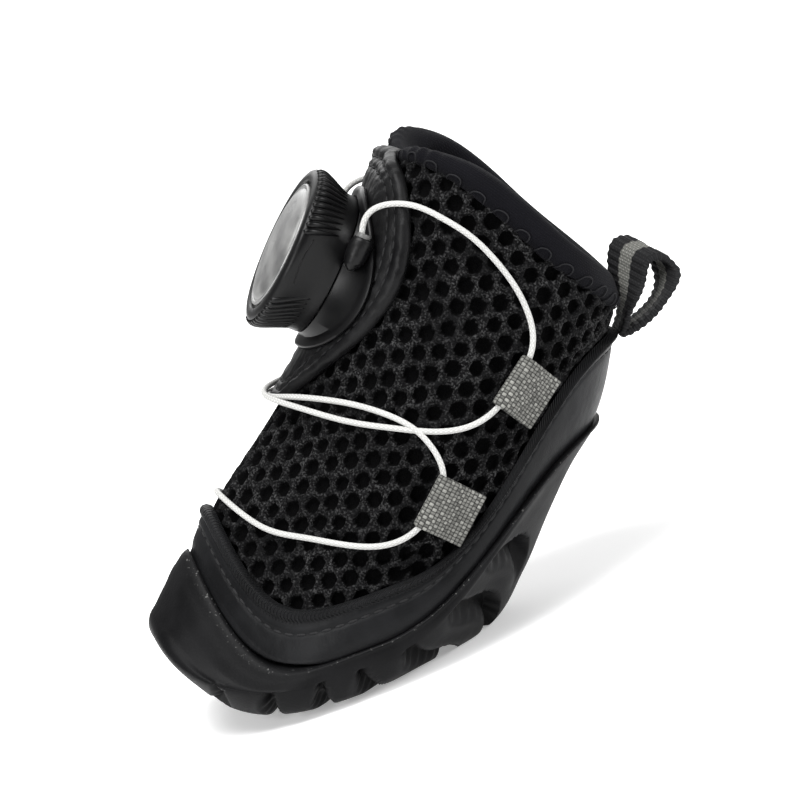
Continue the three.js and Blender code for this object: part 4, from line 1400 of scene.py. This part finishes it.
def make_loop(row, side):
    """A webbing loop: folded over the lace, with both its ends sewn down on the upper."""
    loop = LOOPS[row]
    middle, along, down, up = loop_frame(loop)
    reach = loop["reach"]
    angles = np.radians(np.linspace(62, 268, 16))
    fold = [(FOLD_RADIUS * math.cos(a), FOLD_RISE + FOLD_RADIUS * math.sin(a)) for a in angles]
    path = [(reach + 1.2, 1.3), (reach, 1.38), (4.4, 1.7), (3.0, 2.3), (1.8, 2.95)] + fold
    path += [(1.3, 0.74), (3.0, 0.68), (4.4, 0.66), (reach, 0.64), (reach + 1.2, 0.6)]
    line = smooth_line([(a, b, 0) for a, b in path], 70)[:, :2]
    ahead = unit(np.gradient(line, axis=0))
    out = np.stack([ahead[:, 1], -ahead[:, 0]], axis=-1)
    half = LOOP_WIDE / 2
    # round the strap's section: over the top face, the edge, the under face and the other edge
    section = [(-half, 0.1), (-half + 0.2, 0.36)]
    section += [(x, 0.4) for x in np.linspace(-half + 0.6, half - 0.6, 13)]
    section += [(half - 0.2, 0.36), (half, 0.1), (half, -0.1), (half - 0.2, -0.33)]
    section += [(x, -0.35) for x in np.linspace(half - 0.6, -half + 0.6, 5)]
    section += [(-half + 0.2, -0.33), (-half, -0.1), (-half, 0.1)]
    rows = []
    for across, height in section:
        spot = line - out * height
        rows.append(middle + spot[:, :1] * down + spot[:, 1:] * up + across * along)
    grid = np.stack(rows, axis=1)
    uv = strap_map(run_lengths(line, 0), section)
    start = np.broadcast_to(grid[:1].mean(axis=1, keepdims=True), grid[:1].shape)
    end = np.broadcast_to(grid[-1:].mean(axis=1, keepdims=True), grid[-1:].shape)
    grid = np.concatenate([start, grid, end])
    uv = np.concatenate([uv[:1], uv, uv[-1:]])
    if side < 0:
        grid = grid * MIRROR
    piece = wrapped(grid, uv)
    name = "left" if side > 0 else "right"
    node = f"lace_loop_{name}_{row}"
    dress(piece, f"{node}_webbing", WEBBING, (node,), 60)


for row in LOOPS:
    for side in (1, -1):
        make_loop(row, side)


def lace_in(loop):
    middle, along, _, up = loop_frame(loop)
    return [middle + up * FOLD_RISE + along * LOOP_WIDE * part for part in (0.5, 0, -0.5)]


def lace_row(spots):
    return [upper.place(math.radians(degrees), level, height) for degrees, level, height in spots]


LACE_LOW = 0.9
OVER_PATCH = 2.4
# out of the port: x, up from the dial's middle, height over the patch along the dial's axis
FROM_PORT = (
    (PORT_SIDE, PORT_UP, PORT_HIGH), (PORT_SIDE, 8.6, 0.8832), (14.0, 10.3, 2.2), (14.3, 12.2, 2.1),
    (15.0, 14.4, 0.2), (16.4, 16.0, -2.6), (18.0, 17.0, -5.4),
)
# over the upper: turn in degrees, level and height
FROM_DIAL = (
    (60, 5.73, 1.6), (73, 5.75, 1.1), (86, 5.71, 1.0), (97, 5.6, 1.0), (105, 5.4, 1.0),
    (110.5, 5.18, 1.4),
)
TO_CROSSING = (
    (99, 4.36, 1.3), (88, 4.42, LACE_LOW), (69, 4.44, LACE_LOW), (45, 4.36, LACE_LOW), (20, 4.21, 2.6),
)
FROM_CROSSING = (
    (18, 4.27, 2.6), (42, 4.47, LACE_LOW), (60, 4.51, LACE_LOW), (78, 4.46, LACE_LOW), (90, 4.29, 1.2),
)
TOE_BAR = (
    (84, 3.48, 1.2), (72, 3.53, LACE_LOW), (57, 3.56, LACE_LOW), (42, 3.53, LACE_LOW), (24, 3.39, 1.0),
)
CROSSING_LEVEL = 4.02
BAR_LEVEL = 3.15


def make_lace():
    """One cord: left port, upper left loop, over to the lower right loop, toe, and back again."""
    over = upper.place(0.0, CROSSING_LEVEL, OVER_PATCH + LACE_WIDE)
    under = upper.place(0.0, CROSSING_LEVEL, OVER_PATCH)
    bar_middle = upper.place(0.0, BAR_LEVEL, 1.2)
    left_out = [at_dial(*spot) for spot in FROM_PORT] + lace_row(FROM_DIAL)
    left_out += lace_in(LOOPS["upper"]) + lace_row(TO_CROSSING)
    low_out = lace_row(FROM_CROSSING) + lace_in(LOOPS["lower"]) + lace_row(TOE_BAR)
    route = left_out + [over] + [spot * MIRROR for spot in low_out] + [bar_middle]
    route += low_out[::-1] + [under] + [spot * MIRROR for spot in left_out[::-1]]
    line = smooth_line(route, 640)
    for _ in range(36):
        line[1:-1] = line[1:-1] * 0.5 + (line[:-2] + line[2:]) * 0.25
    piece = tube(line, LACE_WIDE / 2 - 0.04, 12)
    dress(piece, "lace_braid", CORD, ("lace",))


make_lace()


# ---- Pull loop -----------------------------------------------------------------------------------
# (y, z) round the loop on the middle plane, before it is turned
PULL_LINE = (
    (50.4, 38.0), (53.4, 38.2), (57.2, 39.7), (60.8, 42.6), (62.4, 45.8), (61.0, 48.8), (57.8, 49.4),
    (55.2, 46.4), (53.2, 42.4), (51.4, 39.4),
)
PULL_WIDE = 9.0
PULL_TURN = math.radians(30)
PULL_ROLL = 0.9
PULL_AXIS_Y = 52.8
STRIPE_HALF = 1.4


def twisted(spots):
    """The loop's free end hangs turned towards the boot's left side."""
    angle = PULL_TURN * smooth(40, 48, spots[..., 2])
    x = spots[..., 0]
    y = spots[..., 1] - PULL_AXIS_Y
    z = spots[..., 2] - x * np.sin(PULL_ROLL * angle)
    x = x * np.cos(PULL_ROLL * angle)
    turned_x = x * np.cos(angle) - y * np.sin(angle)
    turned_y = x * np.sin(angle) + y * np.cos(angle)
    return np.stack([turned_x, PULL_AXIS_Y + turned_y, z], axis=-1)


def make_pull_loop():
    """The striped tape loop at the heel: ribbed, and smoother along its stripe."""
    line = smooth_line([(0, y, z) for y, z in PULL_LINE], 260, closed=True)
    ahead = np.gradient(line, axis=0)
    ahead[0] = ahead[-1] = line[1] - line[-2]
    ahead = unit(ahead)
    out = np.stack([np.zeros(len(line)), ahead[:, 2], -ahead[:, 1]], axis=-1)
    run = run_lengths(line, 0)
    ribs = round(run[-1] / 1.3)
    wave = 0.5 + 0.5 * np.cos(2 * math.pi * ribs * run / run[-1])
    half = PULL_WIDE / 2
    section = [(-half, 0.0), (-half + 0.15, 0.4)]
    section += [(x, 0.5) for x in np.linspace(-half + 0.5, half - 0.5, 17)]
    section += [(half - 0.15, 0.4), (half, 0.0), (half - 0.15, -0.4)]
    section += [(x, -0.5) for x in np.linspace(half - 0.5, -half + 0.5, 17)]
    section += [(-half + 0.15, -0.4), (-half, 0.0)]
    rows = []
    for across, height in section:
        ribbed = 0.35 if abs(across) < STRIPE_HALF else 1.0
        thick = height + math.copysign(0.2, height) * wave * ribbed * (abs(height) > 0.1)
        rows.append(line + out * thick[:, None] + across * ACROSS)
    piece = wrapped(twisted(np.stack(rows, axis=1)), strap_map(run, section))
    dress(piece, "pull_loop_tape", TAPE, ("pull_loop",), 60)


make_pull_loop()

# ---- Floor ---------------------------------------------------------------------------------------
bpy.ops.object.select_all(action="DESELECT")
bpy.ops.mesh.primitive_plane_add(size=8, location=(0, 0, 0))
floor = bpy.context.object
floor.name = "studio_floor"
floor.data.materials.append(floor_material())
